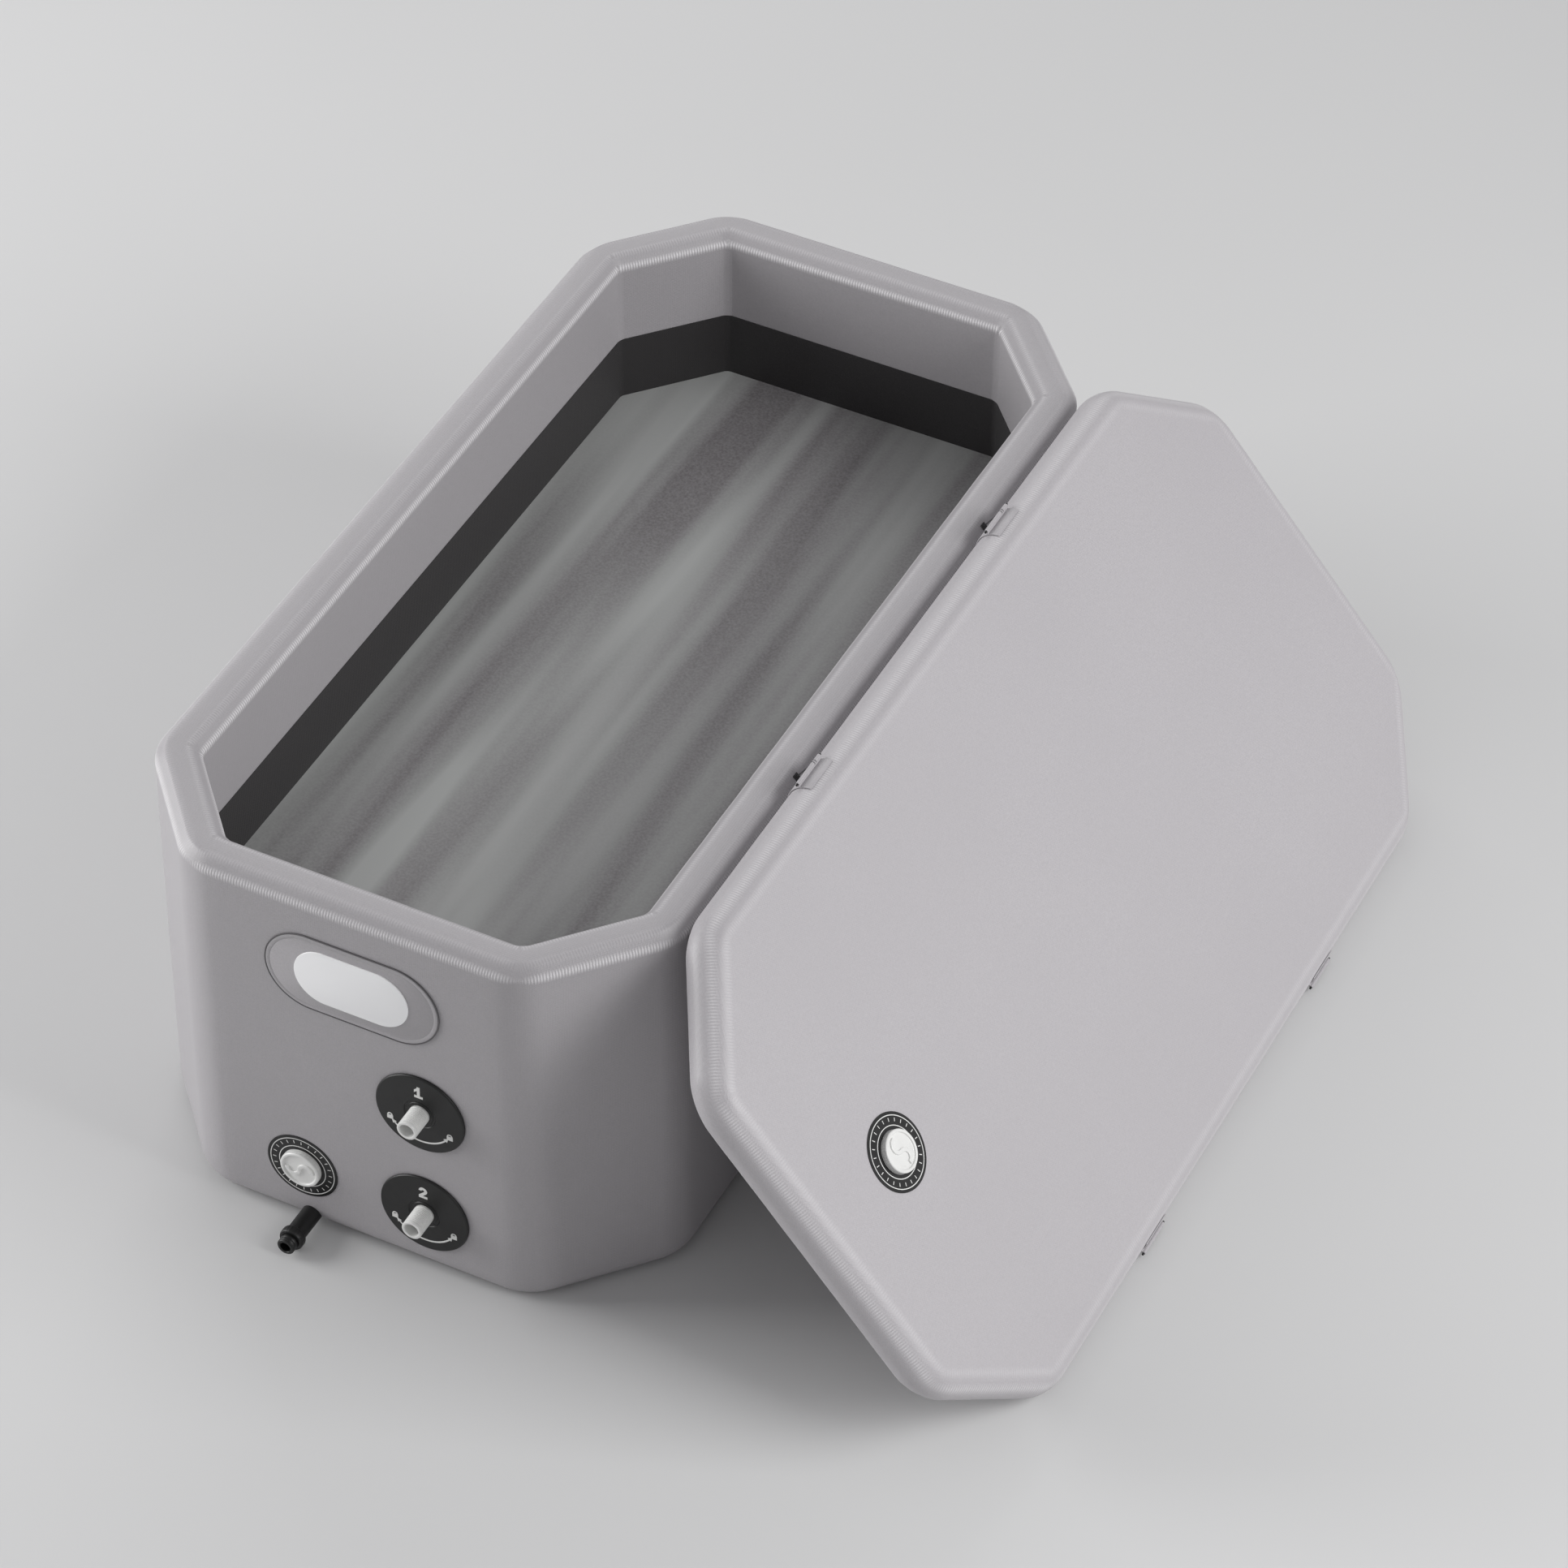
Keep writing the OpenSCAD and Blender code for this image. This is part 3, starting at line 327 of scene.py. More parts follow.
def puckered(o, seams, amount, crown, faces):
    """Moves the vertices in by slow waves along the seams, and crowns the faces by faces(vertex, depth)."""
    moved = []
    # Every normal is read before the first point moves
    for v, normal in [(v, v.normal.copy()) for v in o.data.vertices]:
        depth, run = outline_place(v.co.x, v.co.y)
        near = max(max(0.0, 1 - Vector((depth - d, v.co.z - z)).length / (PUCKER_REACH * reach))
                   for d, z, reach, _ in seams)
        wave = noise.noise(Vector((run * WAVES_ALONG, v.co.z * WAVES_ACROSS, depth * WAVES_ACROSS)))
        moved += tuple(v.co + normal * (crown * faces(v, depth) - amount * near * (0.5 + 0.5 * wave)))
    o.data.vertices.foreach_set("co", moved)
    o.data.update()


# Materials

def add(tree, kind, inputs=None, **settings):
    """Adds a node with its settings, and links or sets its inputs."""
    n = tree.nodes.new(kind)
    for key, value in settings.items():
        setattr(n, key, value)
    for key, value in (inputs or {}).items():
        if isinstance(value, bpy.types.NodeSocket):
            tree.links.new(value, n.inputs[key])
        else:
            n.inputs[key].default_value = value
    return n


def new_material(name):
    """An empty material with a Principled shader, its tree and its object coordinates."""
    m = bpy.data.materials.new(name)
    m.use_nodes = True
    t = m.node_tree
    t.nodes.clear()
    shader = add(t, "ShaderNodeBsdfPrincipled")
    add(t, "ShaderNodeOutputMaterial", {"Surface": shader.outputs[0]})
    where = add(t, "ShaderNodeTexCoord").outputs["Object"]
    return m, t, shader, where


def maths(t, operation, a, b=None):
    """The result of a sum of one or two values."""
    return add(t, "ShaderNodeMath", {0: a} if b is None else {0: a, 1: b}, operation=operation).outputs[0]


def mixed(t, factor, a, b):
    """Colour between a and b."""
    return add(t, "ShaderNodeMix", {"Factor": factor, 6: a, 7: b}, data_type="RGBA").outputs[2]


def grain(t, where, scale, detail=2.0, rough=0.5):
    """Noise from 0 to 1 with a size of 1/scale metres."""
    return add(t, "ShaderNodeTexNoise", {"Vector": where, "Scale": scale, "Detail": detail, "Roughness": rough}
               ).outputs["Fac"]


def spread(t, value, low, high, to_low=0.0, to_high=1.0):
    """The value mapped from one range to another."""
    return add(t, "ShaderNodeMapRange", {"Value": value, "From Min": low, "From Max": high, "To Min": to_low,
                                         "To Max": to_high}).outputs["Result"]


def rgba(colour, share=1.0):
    """A colour with its alpha, made lighter or darker by share."""
    return (*[min(1.0, c * share) for c in colour], 1.0)


def woven(t, where, thread):
    """Height of a plain weave: threads of this width along the three axes."""
    turns = 2 * math.pi / (2 * thread)
    parts = add(t, "ShaderNodeSeparateXYZ", {0: where})
    waves = [maths(t, "SINE", maths(t, "MULTIPLY", parts.outputs[i], turns)) for i in range(3)]
    pairs = [maths(t, "MULTIPLY", waves[i], waves[(i + 1) % 3]) for i in range(3)]
    return maths(t, "ADD", maths(t, "ADD", pairs[0], pairs[1]), pairs[2])


def coated_fabric(name, colour, edge, pitch, rough, seams=()):
    """Polyester fabric with a calendered PVC coating, as on inflatable boards: the threads telegraph through
    as a very fine weave, the coating gives a soft satin gloss, and the welded seams are drawn into fine ribs
    that catch the light, with a painted highlight in the edge colour along them."""
    m, t, shader, where = new_material(name)
    # The real threads are 0.5 mm wide, too fine for the picture, so they are drawn 1.6 mm wide
    weave = woven(t, where, 0.0016)
    fine = grain(t, where, 420, 3.0, 0.6)
    cloud = grain(t, where, 3.5, 2.0, 0.5)
    tone = mixed(t, spread(t, fine, 0.3, 0.7), rgba(colour, 0.93), rgba(colour, 1.06))
    tone = mixed(t, spread(t, cloud, 0.35, 0.65, 0.0, 0.35), tone, rgba(colour, 0.94))
    height = maths(t, "ADD", maths(t, "MULTIPLY", weave, 0.12), maths(t, "MULTIPLY", fine, 0.5))
    if seams:
        seam = add(t, "ShaderNodeSeparateXYZ", {0: add(t, "ShaderNodeUVMap", uv_map="seam").outputs[0]})
        wander = maths(t, "MULTIPLY", grain(t, where, 90), 3.0)
        along = maths(t, "MULTIPLY", seam.outputs[0], 2 * math.pi / pitch)
        ribs = maths(t, "SINE", maths(t, "ADD", along, wander))
        section = add(t, "ShaderNodeUVMap", uv_map="section").outputs[0]
        near = 0.0
        for depth, z, reach, weight in seams:
            away = add(t, "ShaderNodeVectorMath", {0: section, 1: (depth, z, 0)}, operation="DISTANCE")
            near = maths(t, "MAXIMUM", spread(t, away.outputs["Value"], 0.0, reach, weight, 0.0), near)
        # Painted highlight: near the seams the colour is drawn towards the edge colour, in ribs
        tone = mixed(t, maths(t, "MULTIPLY", near, spread(t, ribs, -1, 1, 0.15, 1.0)), tone, rgba(edge))
        height = maths(t, "ADD", height, maths(t, "MULTIPLY", maths(t, "MULTIPLY", ribs, near), 0.9))
    t.links.new(tone, shader.inputs["Base Color"])
    bump = add(t, "ShaderNodeBump", {"Height": height, "Strength": 0.55, "Distance": 0.0006})
    t.links.new(bump.outputs[0], shader.inputs["Normal"])
    t.links.new(spread(t, fine, 0.3, 0.7, rough - 0.05, rough + 0.06), shader.inputs["Roughness"])
    shader.inputs["IOR"].default_value = 1.5
    shader.inputs["Sheen Weight"].default_value = 0.08
    shader.inputs["Sheen Roughness"].default_value = 0.5
    return m


def moulded(name, colour, rough, grain_mm, depth, wear=0.03, coat=0.0):
    """Injection-moulded plastic: even colour with slight flow marks, a fine eroded tool texture of grain_mm,
    and a gloss that varies a little with the flow marks."""
    m, t, shader, where = new_material(name)
    fine = grain(t, where, 1000 / grain_mm, 2.0, 0.55)
    flow = grain(t, where, 45, 3.0, 0.6)
    tone = mixed(t, spread(t, flow, 0.35, 0.65), rgba(colour, 1 - wear), rgba(colour, 1 + wear))
    t.links.new(tone, shader.inputs["Base Color"])
    bump = add(t, "ShaderNodeBump", {"Height": fine, "Strength": 0.5, "Distance": depth})
    t.links.new(bump.outputs[0], shader.inputs["Normal"])
    t.links.new(spread(t, flow, 0.3, 0.7, rough - 0.04, rough + 0.05), shader.inputs["Roughness"])
    shader.inputs["IOR"].default_value = 1.49
    shader.inputs["Coat Weight"].default_value = coat
    shader.inputs["Coat Roughness"].default_value = 0.2
    return m


def drawn_wire(name, colour):
    """Drawn spring steel: metal with fine lines along the wire, softly reflecting."""
    m, t, shader, where = new_material(name)
    lines = grain(t, add(t, "ShaderNodeMapping", {"Vector": where, "Scale": (1, 0.1, 1)}).outputs[0], 3000)
    t.links.new(mixed(t, lines, rgba(colour, 0.85), rgba(colour, 1.1)), shader.inputs["Base Color"])
    t.links.new(spread(t, lines, 0.2, 0.8, 0.28, 0.42), shader.inputs["Roughness"])
    bump = add(t, "ShaderNodeBump", {"Height": lines, "Strength": 0.3, "Distance": 0.00005})
    t.links.new(bump.outputs[0], shader.inputs["Normal"])
    shader.inputs["Metallic"].default_value = 1.0
    return m


def braid(name, colour):
    """Braided polyester cord: dark, with the slanted strands of the braid and a dry, matt surface."""
    m, t, shader, where = new_material(name)
    # Strands of 0.7 mm, slanted across the cord
    slant = add(t, "ShaderNodeTexWave", {"Vector": where, "Scale": 230, "Distortion": 0.6, "Detail": 1.0},
                bands_direction="DIAGONAL")
    tone = mixed(t, slant.outputs["Fac"], rgba(colour, 0.7), rgba(colour, 1.5))
    t.links.new(tone, shader.inputs["Base Color"])
    bump = add(t, "ShaderNodeBump", {"Height": slant.outputs["Fac"], "Strength": 0.6, "Distance": 0.0002})
    t.links.new(bump.outputs[0], shader.inputs["Normal"])
    shader.inputs["Roughness"].default_value = 0.75
    return m


def paper(name, colour):
    """Seamless studio paper: pale, matt and very slightly mottled."""
    m, t, shader, where = new_material(name)
    cloud = grain(t, where, 1.2, 2.0)
    t.links.new(mixed(t, cloud, rgba(colour, 0.985), rgba(colour, 1.015)), shader.inputs["Base Color"])
    shader.inputs["Roughness"].default_value = 0.92
    shader.inputs["Specular IOR Level"].default_value = 0.15
    return m


def still_water(name):
    """Water as a grey surface, with painted reflections in long soft streaks along the tub and painted glints
    as a fine sparkle.
    """
    m, t, shader, where = new_material(name)
    long = add(t, "ShaderNodeMapping", {"Vector": where, "Scale": (1.0, 0.06, 1.0)}).outputs[0]
    streak = grain(t, long, 13.0, 2.0, 0.45)
    second = grain(t, long, 15.0, 1.0, 0.4)
    fine = grain(t, where, 260, 2.0, 0.6)
    # Painted reflections: the long streaks and a second noise vary the colour, and the fine noise paints small
    # glints
    tone = mixed(t, spread(t, streak, 0.36, 0.64), rgba(linear("#757173")), rgba(linear("#b4b6b4")))
    tone = mixed(t, spread(t, second, 0.4, 0.7, 0.0, 0.35), tone, rgba(linear("#a4a2a3")))
    tone = mixed(t, spread(t, fine, 0.3, 0.7, 0.0, 0.3), tone, rgba(linear("#b6b7b6")))
    t.links.new(tone, shader.inputs["Base Color"])
    shader.inputs["Roughness"].default_value = 0.45
    shader.inputs["IOR"].default_value = 1.33
    bump = add(t, "ShaderNodeBump", {"Height": streak, "Strength": 0.25, "Distance": 0.012})
    t.links.new(bump.outputs[0], shader.inputs["Normal"])
    return m


FINISHES = {}


def make_finishes(finish, shape):
    """Makes every material once."""
    # edge is the colour of the painted highlight along the seams
    shell, edge = tuple(finish.shell), tuple(finish.seam_highlight)
    FINISHES.update({
        "shell": coated_fabric("pvc_coated_polyester_grey", shell, edge, shape.rib_pitch, 0.42, RIM_SEAMS),
        # Painted light: the lid and its tabs are the shell's fabric made lighter, standing for the light on
        # their faces
        "lid": coated_fabric("pvc_coated_polyester_painted_lit", tuple(c * 1.18 for c in shell), edge,
                             shape.rib_pitch, 0.42, LID_SEAMS),
        "patch": coated_fabric("pvc_coated_polyester_patch", shell, edge, shape.rib_pitch, 0.45),
        "tab": coated_fabric("pvc_coated_webbing_painted_lit", tuple(c * 1.12 for c in shell), edge, shape.rib_pitch,
                             0.40),
        "band": coated_fabric("pvc_coated_polyester_dark", tuple(finish.band), edge, shape.rib_pitch, 0.5),
        # Painted shadow: the pad's thin border is dark grey all round, standing for the shadow line beside the
        # raised pad
        "pad_shadow_line": coated_fabric("pvc_painted_shadow_line", linear("#5c5a5c"), edge, shape.rib_pitch, 0.5),
        "black": moulded("moulded_abs_black", tuple(finish.moulded), 0.42, 0.9, 0.00008),
        "label": moulded("printed_polycarbonate_black", tuple(finish.moulded), 0.36, 1.6, 0.00003),
        "white": moulded("moulded_abs_pearl_white", tuple(finish.pearl), 0.30, 1.2, 0.00004, 0.015, 0.15),
        "badge": moulded("flexible_badge_white", linear("#fbfbfc"), 0.5, 1.2, 0.00002, 0.0),
        "print": moulded("raised_print_white", tuple(c * 0.97 for c in finish.pearl), 0.5, 0.6, 0.00003, 0.02),
        "rubber": moulded("nitrile_rubber_black", linear("#161616"), 0.7, 0.8, 0.00005, 0.05),
        "steel": drawn_wire("drawn_spring_steel", linear("#b8bcc0")),
        "cord": braid("braided_polyester_dark", linear("#3a393b")),
        "paper": paper("seamless_paper_pale", tuple(finish.studio)),
        "water": still_water("still_water_grey"),
    })


# Pieces

class TUB_OT_finishes(bpy.types.Operator):
    """Make the finishes and give them to the solids that stay"""
    bl_idname = "plunge.finishes"
    bl_label = "Finishes"

    def execute(self, context):
        make_finishes(context.scene.plunge_finish, context.scene.plunge_shape)
        # The pad's border takes the dark grey of the painted shadow line
        kinds = (("spring", "steel"), ("oring", "rubber"), ("gasket", "rubber"), ("seal", "rubber"),
                 ("marks", "print"), ("label", "label"), ("loops", "cord"), ("rods", "black"),
                 ("inner_band", "band"), ("border", "pad_shadow_line"), ("base_sheet", "band"), ("port_", "black"),
                 ("drain", "black"), ("valve", "white"), ("badge", "white"))
        for name, o in frame["nodes"].items():
            key = next((k for word, k in kinds if word in name), "patch")
            o.data.materials.clear()
            o.data.materials.append(FINISHES[key])
        return {"FINISHED"}


# Seams as (depth inside the outline, height, reach, strength of the painted highlight): the ridges of the rim,
# in and out
RIM_SEAMS = ((0.0, TUB_H - RIM_BEVEL, 0.009, 0.8), (RIM_BEVEL, TUB_H, 0.009, 0.2),
             (WALL_T - RIM_BEVEL, TUB_H, 0.008, 0.3), (WALL_T, TUB_H - RIM_BEVEL, 0.008, 1.0))
# The wall's outer faces reach this deep, and are crowned between these heights
OUTER, CROWN_LOW, CROWN_HIGH = 0.02, 0.035, 0.6


class TUB_OT_wall(bpy.types.Operator):
    """Model the inflated wall"""
    bl_idname = "plunge.wall"
    bl_label = "Inflated wall"

    def execute(self, context):
        shape = context.scene.plunge_shape
        o = octagon_block("tub_wall", 0.0, BASE_T, TUB_H)
        pick(o, "FACE", level)
        bpy.ops.mesh.inset(thickness=WALL_T, use_even_offset=True)
        pick(o, "FACE", lambda f: level(f) and middle(f).xy.length < WALL_T)
        bpy.ops.mesh.delete(type="FACE")
        pick(o, "EDGE", lambda e: e.is_boundary)
        bpy.ops.mesh.bridge_edge_loops()
        # Slope along both edges of the rim, then the round ridges beside it and the round foot
        rim = lambda e: all(abs(v.co.z - TUB_H) < NEAR for v in e.verts)
        pick(o, "EDGE", lambda e: rim(e) and len({f.normal.z > UPRIGHT for f in e.link_faces}) == 2)
        bpy.ops.mesh.bevel(offset=RIM_BEVEL, segments=1, affect="EDGES")
        slope = lambda e: len({round(abs(f.normal.z), 1) for f in e.link_faces}) == 2
        pick(o, "EDGE", lambda e: slope(e) and min(v.co.z for v in e.verts) > TUB_H - 2 * RIM_BEVEL)
        bpy.ops.mesh.bevel(offset=RIDGE_R * math.tan(math.pi / 8), segments=4, affect="EDGES")
        low = lambda e: all(v.co.z < BASE_T + NEAR for v in e.verts)
        pick(o, "EDGE", lambda e: low(e) and any(abs(f.normal.z) < 1 - UPRIGHT for f in e.link_faces)
             and outline_depth(middle(e)) < WALL_T / 2)
        bpy.ops.mesh.bevel(offset=FOOT_R - 0.001, segments=7, affect="EDGES")
        # Even columns along each side and rows up the faces
        divided(o, flat)
        for z in ROWS:
            bpy.ops.mesh.select_all(action="SELECT")
            bpy.ops.mesh.bisect(plane_co=(0, 0, z), plane_no=(0, 0, 1))
        bpy.ops.object.mode_set(mode="OBJECT")

        def crown(v, depth):
            # Only the outer faces are crowned, and not the near end, where the fittings sit
            if depth > OUTER or not CROWN_LOW < v.co.z < CROWN_HIGH or v.co.y < -HALF_L + OUTER:
                return 0.0
            return -0.5 + 0.5 * math.sin(math.pi * (v.co.z - CROWN_LOW) / (CROWN_HIGH - CROWN_LOW))
        puckered(o, RIM_SEAMS, shape.seam_pucker, shape.face_crown, crown)
        seam_map(o)
        finish_piece(o, "tub", "shell", "wall", smooth=50)
        return {"FINISHED"}


class TUB_OT_floor(bpy.types.Operator):
    """Model the inflated floor"""
    bl_idname = "plunge.floor"
    bl_label = "Inflated floor"

    def execute(self, context):
        low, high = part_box("floor_panel")
        inset = WALL_T + FLOOR_GAP
        o = octagon_block("tub_floor", inset, low.z, high.z, 4)
        pick(o, "FACE", level)
        bpy.ops.mesh.inset(thickness=0.012, use_even_offset=True)
        pick(o, "EDGE", lambda e: flat(e) and outline_depth(middle(e)) < inset + FLOOR_ARC)
        bpy.ops.mesh.bevel(offset=0.010, segments=4, affect="EDGES")
        finish_piece(o, "tub", "patch", "floor_panel")
        return {"FINISHED"}


# The lid's ridges: on both shoulders of its round edge, and where that edge runs into the two faces, each with
# a painted highlight along it
LID_SEAMS = ((-LID_OVERHANG + 0.010, LID_T - 0.011, 0.010, 0.5), (-LID_OVERHANG + 0.030, LID_T, 0.008, 0.2),
             (-LID_OVERHANG + 0.010, 0.011, 0.010, 0.5), (-LID_OVERHANG + 0.030, 0.0, 0.008, 0.2))


class TUB_OT_lid(bpy.types.Operator):
    """Model the inflated lid in its own flat frame, then lean it on the tub"""
    bl_idname = "plunge.lid"
    bl_label = "Inflated lid"

    def execute(self, context):
        shape = context.scene.plunge_shape
        o = octagon_block("lid_shell", -LID_OVERHANG + LIP, LIP, LID_T - LIP, 9)
        pick(o, "FACE", level)
        for step in (0.0355, 0.006, 0.012, 0.020):
            bpy.ops.mesh.inset(thickness=step, use_even_offset=True)
        pick(o, "EDGE", lambda e: flat(e) and outline_depth(middle(e)) < -LID_OVERHANG + LID_ARC)
        bpy.ops.mesh.bevel(offset=LID_T / 2 - 0.0006, segments=9, affect="EDGES")
        divided(o, lambda e: outline_depth(middle(e)) < 0.2)
        bpy.ops.object.mode_set(mode="OBJECT")
        puckered(o, LID_SEAMS, shape.seam_pucker, 0.0, lambda v, depth: 0.0)
        seam_map(o)
        finish_piece(o, "lid", "lid", "lid_panel", LID_FRAME, smooth=50)
        return {"FINISHED"}


def tab(name, y, side):
    """One tab: a strip round the lid's edge with a tunnel for its rod, in the lid's own frame."""
    r = LID_T / 2 + TAB_GAP
    deselect()
    bpy.ops.mesh.primitive_cube_add(size=1, location=(-(r + TAB_T / 2), 0, 0), scale=(TAB_T, TAB_W, 0.0004))
    strip = started(name)
    pick(strip, "FACE", lambda f: f.normal.z < -UPRIGHT)
    bpy.ops.mesh.delete(type="FACE")
    pick(strip, "FACE", lambda f: f.normal.z > UPRIGHT)
    bpy.ops.mesh.spin(steps=18, angle=TAB_HALF, center=(0, 0, 0), axis=(0, 1, 0))
    pick(strip, "EDGE", lambda e: all(v.co.z < 0 for v in e.verts))
    bpy.ops.mesh.edge_face_add()
    pick(strip, "FACE", lambda f: f.normal.z < -UPRIGHT and middle(f).z < 0)
    bpy.ops.mesh.spin(steps=18, angle=-TAB_HALF, center=(0, 0, 0), axis=(0, 1, 0))
    # Its sharp edges are rounded
    pick(strip, "EDGE", lambda e: len(e.link_faces) == 2 and e.calc_face_angle(0) > 1.2)
    bpy.ops.mesh.bevel(offset=0.0008, segments=2, affect="EDGES")
    bpy.ops.object.mode_set(mode="OBJECT")
    # The rod's tunnel and the web that joins it to the strip
    axis = LID_FRAME.inverted() @ HINGE
    edge = Vector((-HALF_W - LID_OVERHANG + LID_T / 2, 0, LID_T / 2))
    out = axis - edge
    bore_r, end = ROD_D / 2 + ROD_GAP, TAB_W / 2
    tube_r = bore_r + TUNNEL_T
    tube = turned(name + "_tunnel", [(bore_r, -end), (tube_r - 0.0003, -end), (tube_r, -end + 0.0004),
                                     (tube_r, end - 0.0004), (tube_r - 0.0003, end), (bore_r, end)], 24)
    bpy.ops.object.mode_set(mode="OBJECT")
    tube.data.transform(Matrix.Translation((out.x, 0, out.z)) @ Matrix.Rotation(math.pi / 2, 4, "X"))
    deselect()
    reach = out.length - r - TAB_T * 0.5 - ROD_D / 2 - TUNNEL_T / 2
    bpy.ops.mesh.primitive_cube_add(size=1, scale=(reach, TAB_W - 0.0002, 0.0016),
                                    location=(-(r + TAB_T * 0.5 + reach / 2), 0, 0))
    web = started(name + "_web")
    pick(web, "EDGE", lambda e: abs(e.verts[0].co.y - e.verts[1].co.y) > 0.01)
    bpy.ops.mesh.bevel(offset=0.0003, segments=2, affect="EDGES")
    bpy.ops.object.mode_set(mode="OBJECT")
    web.data.transform(Matrix.Rotation(math.atan2(out.z, -out.x), 4, "Y"))
    for p in (web, tube, strip):
        p.select_set(True)
    bpy.context.view_layer.objects.active = strip
    bpy.ops.object.join()
    place = Matrix.Translation((edge.x, y, edge.z))
    if side > 0:
        place = Matrix.Scale(-1, 4, (1, 0, 0)) @ place
    strip.data.transform(place)
    if side > 0:
        strip.data.flip_normals()
    return strip


class TUB_OT_tabs(bpy.types.Operator):
    """Model the four tabs on the lid's edges"""
    bl_idname = "plunge.tabs"
    bl_label = "Lid tabs"

    def execute(self, context):
        for name, side, node in (("hinge_tab", -1, "hinge_tabs"), ("closing_tab", 1, "closing_tabs")):
            for i, y in enumerate((-TAB_Y, TAB_Y)):
                o = tab(f"{name}_{i + 1}", y, side)
                finish_piece(o, "lid", "tab", node, LID_FRAME)
        return {"FINISHED"}


def pill(name, width, height, low, high, edge):
    """A flat bar with round ends: a circle whose halves are moved apart, extruded, with a soft upper edge."""
    deselect()
    # Half a step of turn leaves no point on the middle line
    bpy.ops.mesh.primitive_circle_add(vertices=96, radius=height / 2, fill_type="NGON", location=(0, 0, low),
                                      rotation=(0, 0, math.pi / 96))
    o = started(name)
    for s in (-1, 1):
        pick(o, "VERT", lambda v: v.co.x * s > 0)
        bpy.ops.transform.translate(value=(s * (width - height) / 2, 0, 0))
    bpy.ops.mesh.select_all(action="SELECT")
    bpy.ops.mesh.extrude_region_move(TRANSFORM_OT_translate={"value": (0, 0, high - low)})
    pick(o, "EDGE", lambda e: all(abs(v.co.z - high) < NEAR for v in e.verts))
    bpy.ops.mesh.bevel(offset=edge, segments=3, affect="EDGES")
    return o


class TUB_OT_pad(bpy.types.Operator):
    """Model the pad on the near end and its bare badge"""
    bl_idname = "plunge.pad"
    bl_label = "Pad and badge"

    def execute(self, context):
        low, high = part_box("handle_pad")
        width, height, top = high.x - low.x, high.z - low.z, high.y - low.y
        o = pill("end_pad", width, height, 0.0, top, 0.0012)
        pick(o, "FACE", lambda f: f.normal.z > UPRIGHT and f.calc_area() > 0.01)
        # A welded line sunk beside the edge
        line_in, line_w, line_deep = 0.0045, 0.0008, 0.0004
        bpy.ops.mesh.inset(thickness=line_in, use_even_offset=True)
        for deeper in (-line_deep, line_deep):
            bpy.ops.mesh.inset(thickness=line_w, use_even_offset=True)
            bpy.ops.transform.translate(value=(0, 0, deeper))
        finish_piece(o, "tub", "patch", "handle_pad", on_end(PAD))
        low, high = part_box("badge_plate")
        width, height, back = high.x - low.x, high.z - low.z, -HALF_L - high.y
        o = pill("badge", width, height, back, -HALF_L - low.y, 0.0006)
        finish_piece(o, "tub", "badge", "badge_plate", on_end(PAD))
        return {"FINISHED"}


class TUB_OT_plates(bpy.types.Operator):
    """Turn the black port plates"""
    bl_idname = "plunge.plates"
    bl_label = "Port plates"

    def execute(self, context):
        front = PLATE_FRONT
        rings = [(0.0151, 0.0020), (0.0151, 0.0033), (0.0157, 0.0039), (0.0196, 0.0039), (0.0202, 0.0031),
                 (0.0232, 0.0031), (0.0240, front - 0.0003), (0.0245, front), (0.0645, front),
                 (0.0660, front - 0.0002), (0.0670, front - 0.0009), (0.0675, front - 0.0019),
                 (0.0675, PLATE_BACK), (0.03005, PLATE_BACK), (0.03005, 0.0020)]
        for i, place in PORTS.items():
            o = turned(f"port_plate_{i}", rings, 128)
            finish_piece(o, "tub", "black", f"port_{i}_plate", on_end(place))
        return {"FINISHED"}


# One rib of a hose tail: how far it is sunk, and where, as shares of the ribs' pitch
RIB_SHARES = ((0.0007, 0.15), (0.0007, 0.35), (0.0001, 0.55), (0.0, 0.75), (0.0001, 0.95))


class TUB_OT_tails(bpy.types.Operator):
    """Turn the white hose tails with their fine ribs"""
    bl_idname = "plunge.tails"
    bl_label = "Hose tails"

    def execute(self, context):
        ribs = context.scene.plunge_shape.tail_ribs
        low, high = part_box("port_1_tail")
        tip, root = -HALF_L - low.y, -HALF_L - high.y
        r, neck, bore = 0.015, 0.0145, 0.01075
        rings = [(bore, root), (neck, root), (neck, -0.0162), (0.01255, -0.0162), (0.01255, -0.0138),
                 (neck, -0.0138), (neck, -0.0037), (0.020, -0.0037), (0.020, 0.0017), (neck, 0.0017),
                 (neck, 0.0052), (r, 0.0056), (r, 0.0072)]
        first = 0.0075
        pitch = (tip - 0.004 - first) / max(1, ribs)
        for k in range(ribs):
            z = first + k * pitch
            rings += [(r - sunk, z + share * pitch) for sunk, share in RIB_SHARES]
        rings += [(r, tip - 0.0035), (r, tip - 0.0010), (r - 0.0003, tip - 0.0003), (r - 0.0010, tip),
                  (bore + 0.0008, tip), (bore + 0.0002, tip - 0.0003), (bore, tip - 0.0010)]
        for i, place in PORTS.items():
            o = turned(f"hose_tail_{i}", rings, 96)
            finish_piece(o, f"port_{i}_hose_tail", "white", f"port_{i}_tail", on_end(place))
        return {"FINISHED"}


def knurled(o, radius, below, count, depth):
    """Draws the points outside the radius and under the height in by count waves round the axis."""
    for v in o.data.vertices:
        if v.co.xy.length > radius and v.co.z < below:
            v.co.xy *= 1 - depth * (0.5 + 0.5 * math.cos(count * math.atan2(v.co.y, v.co.x)))


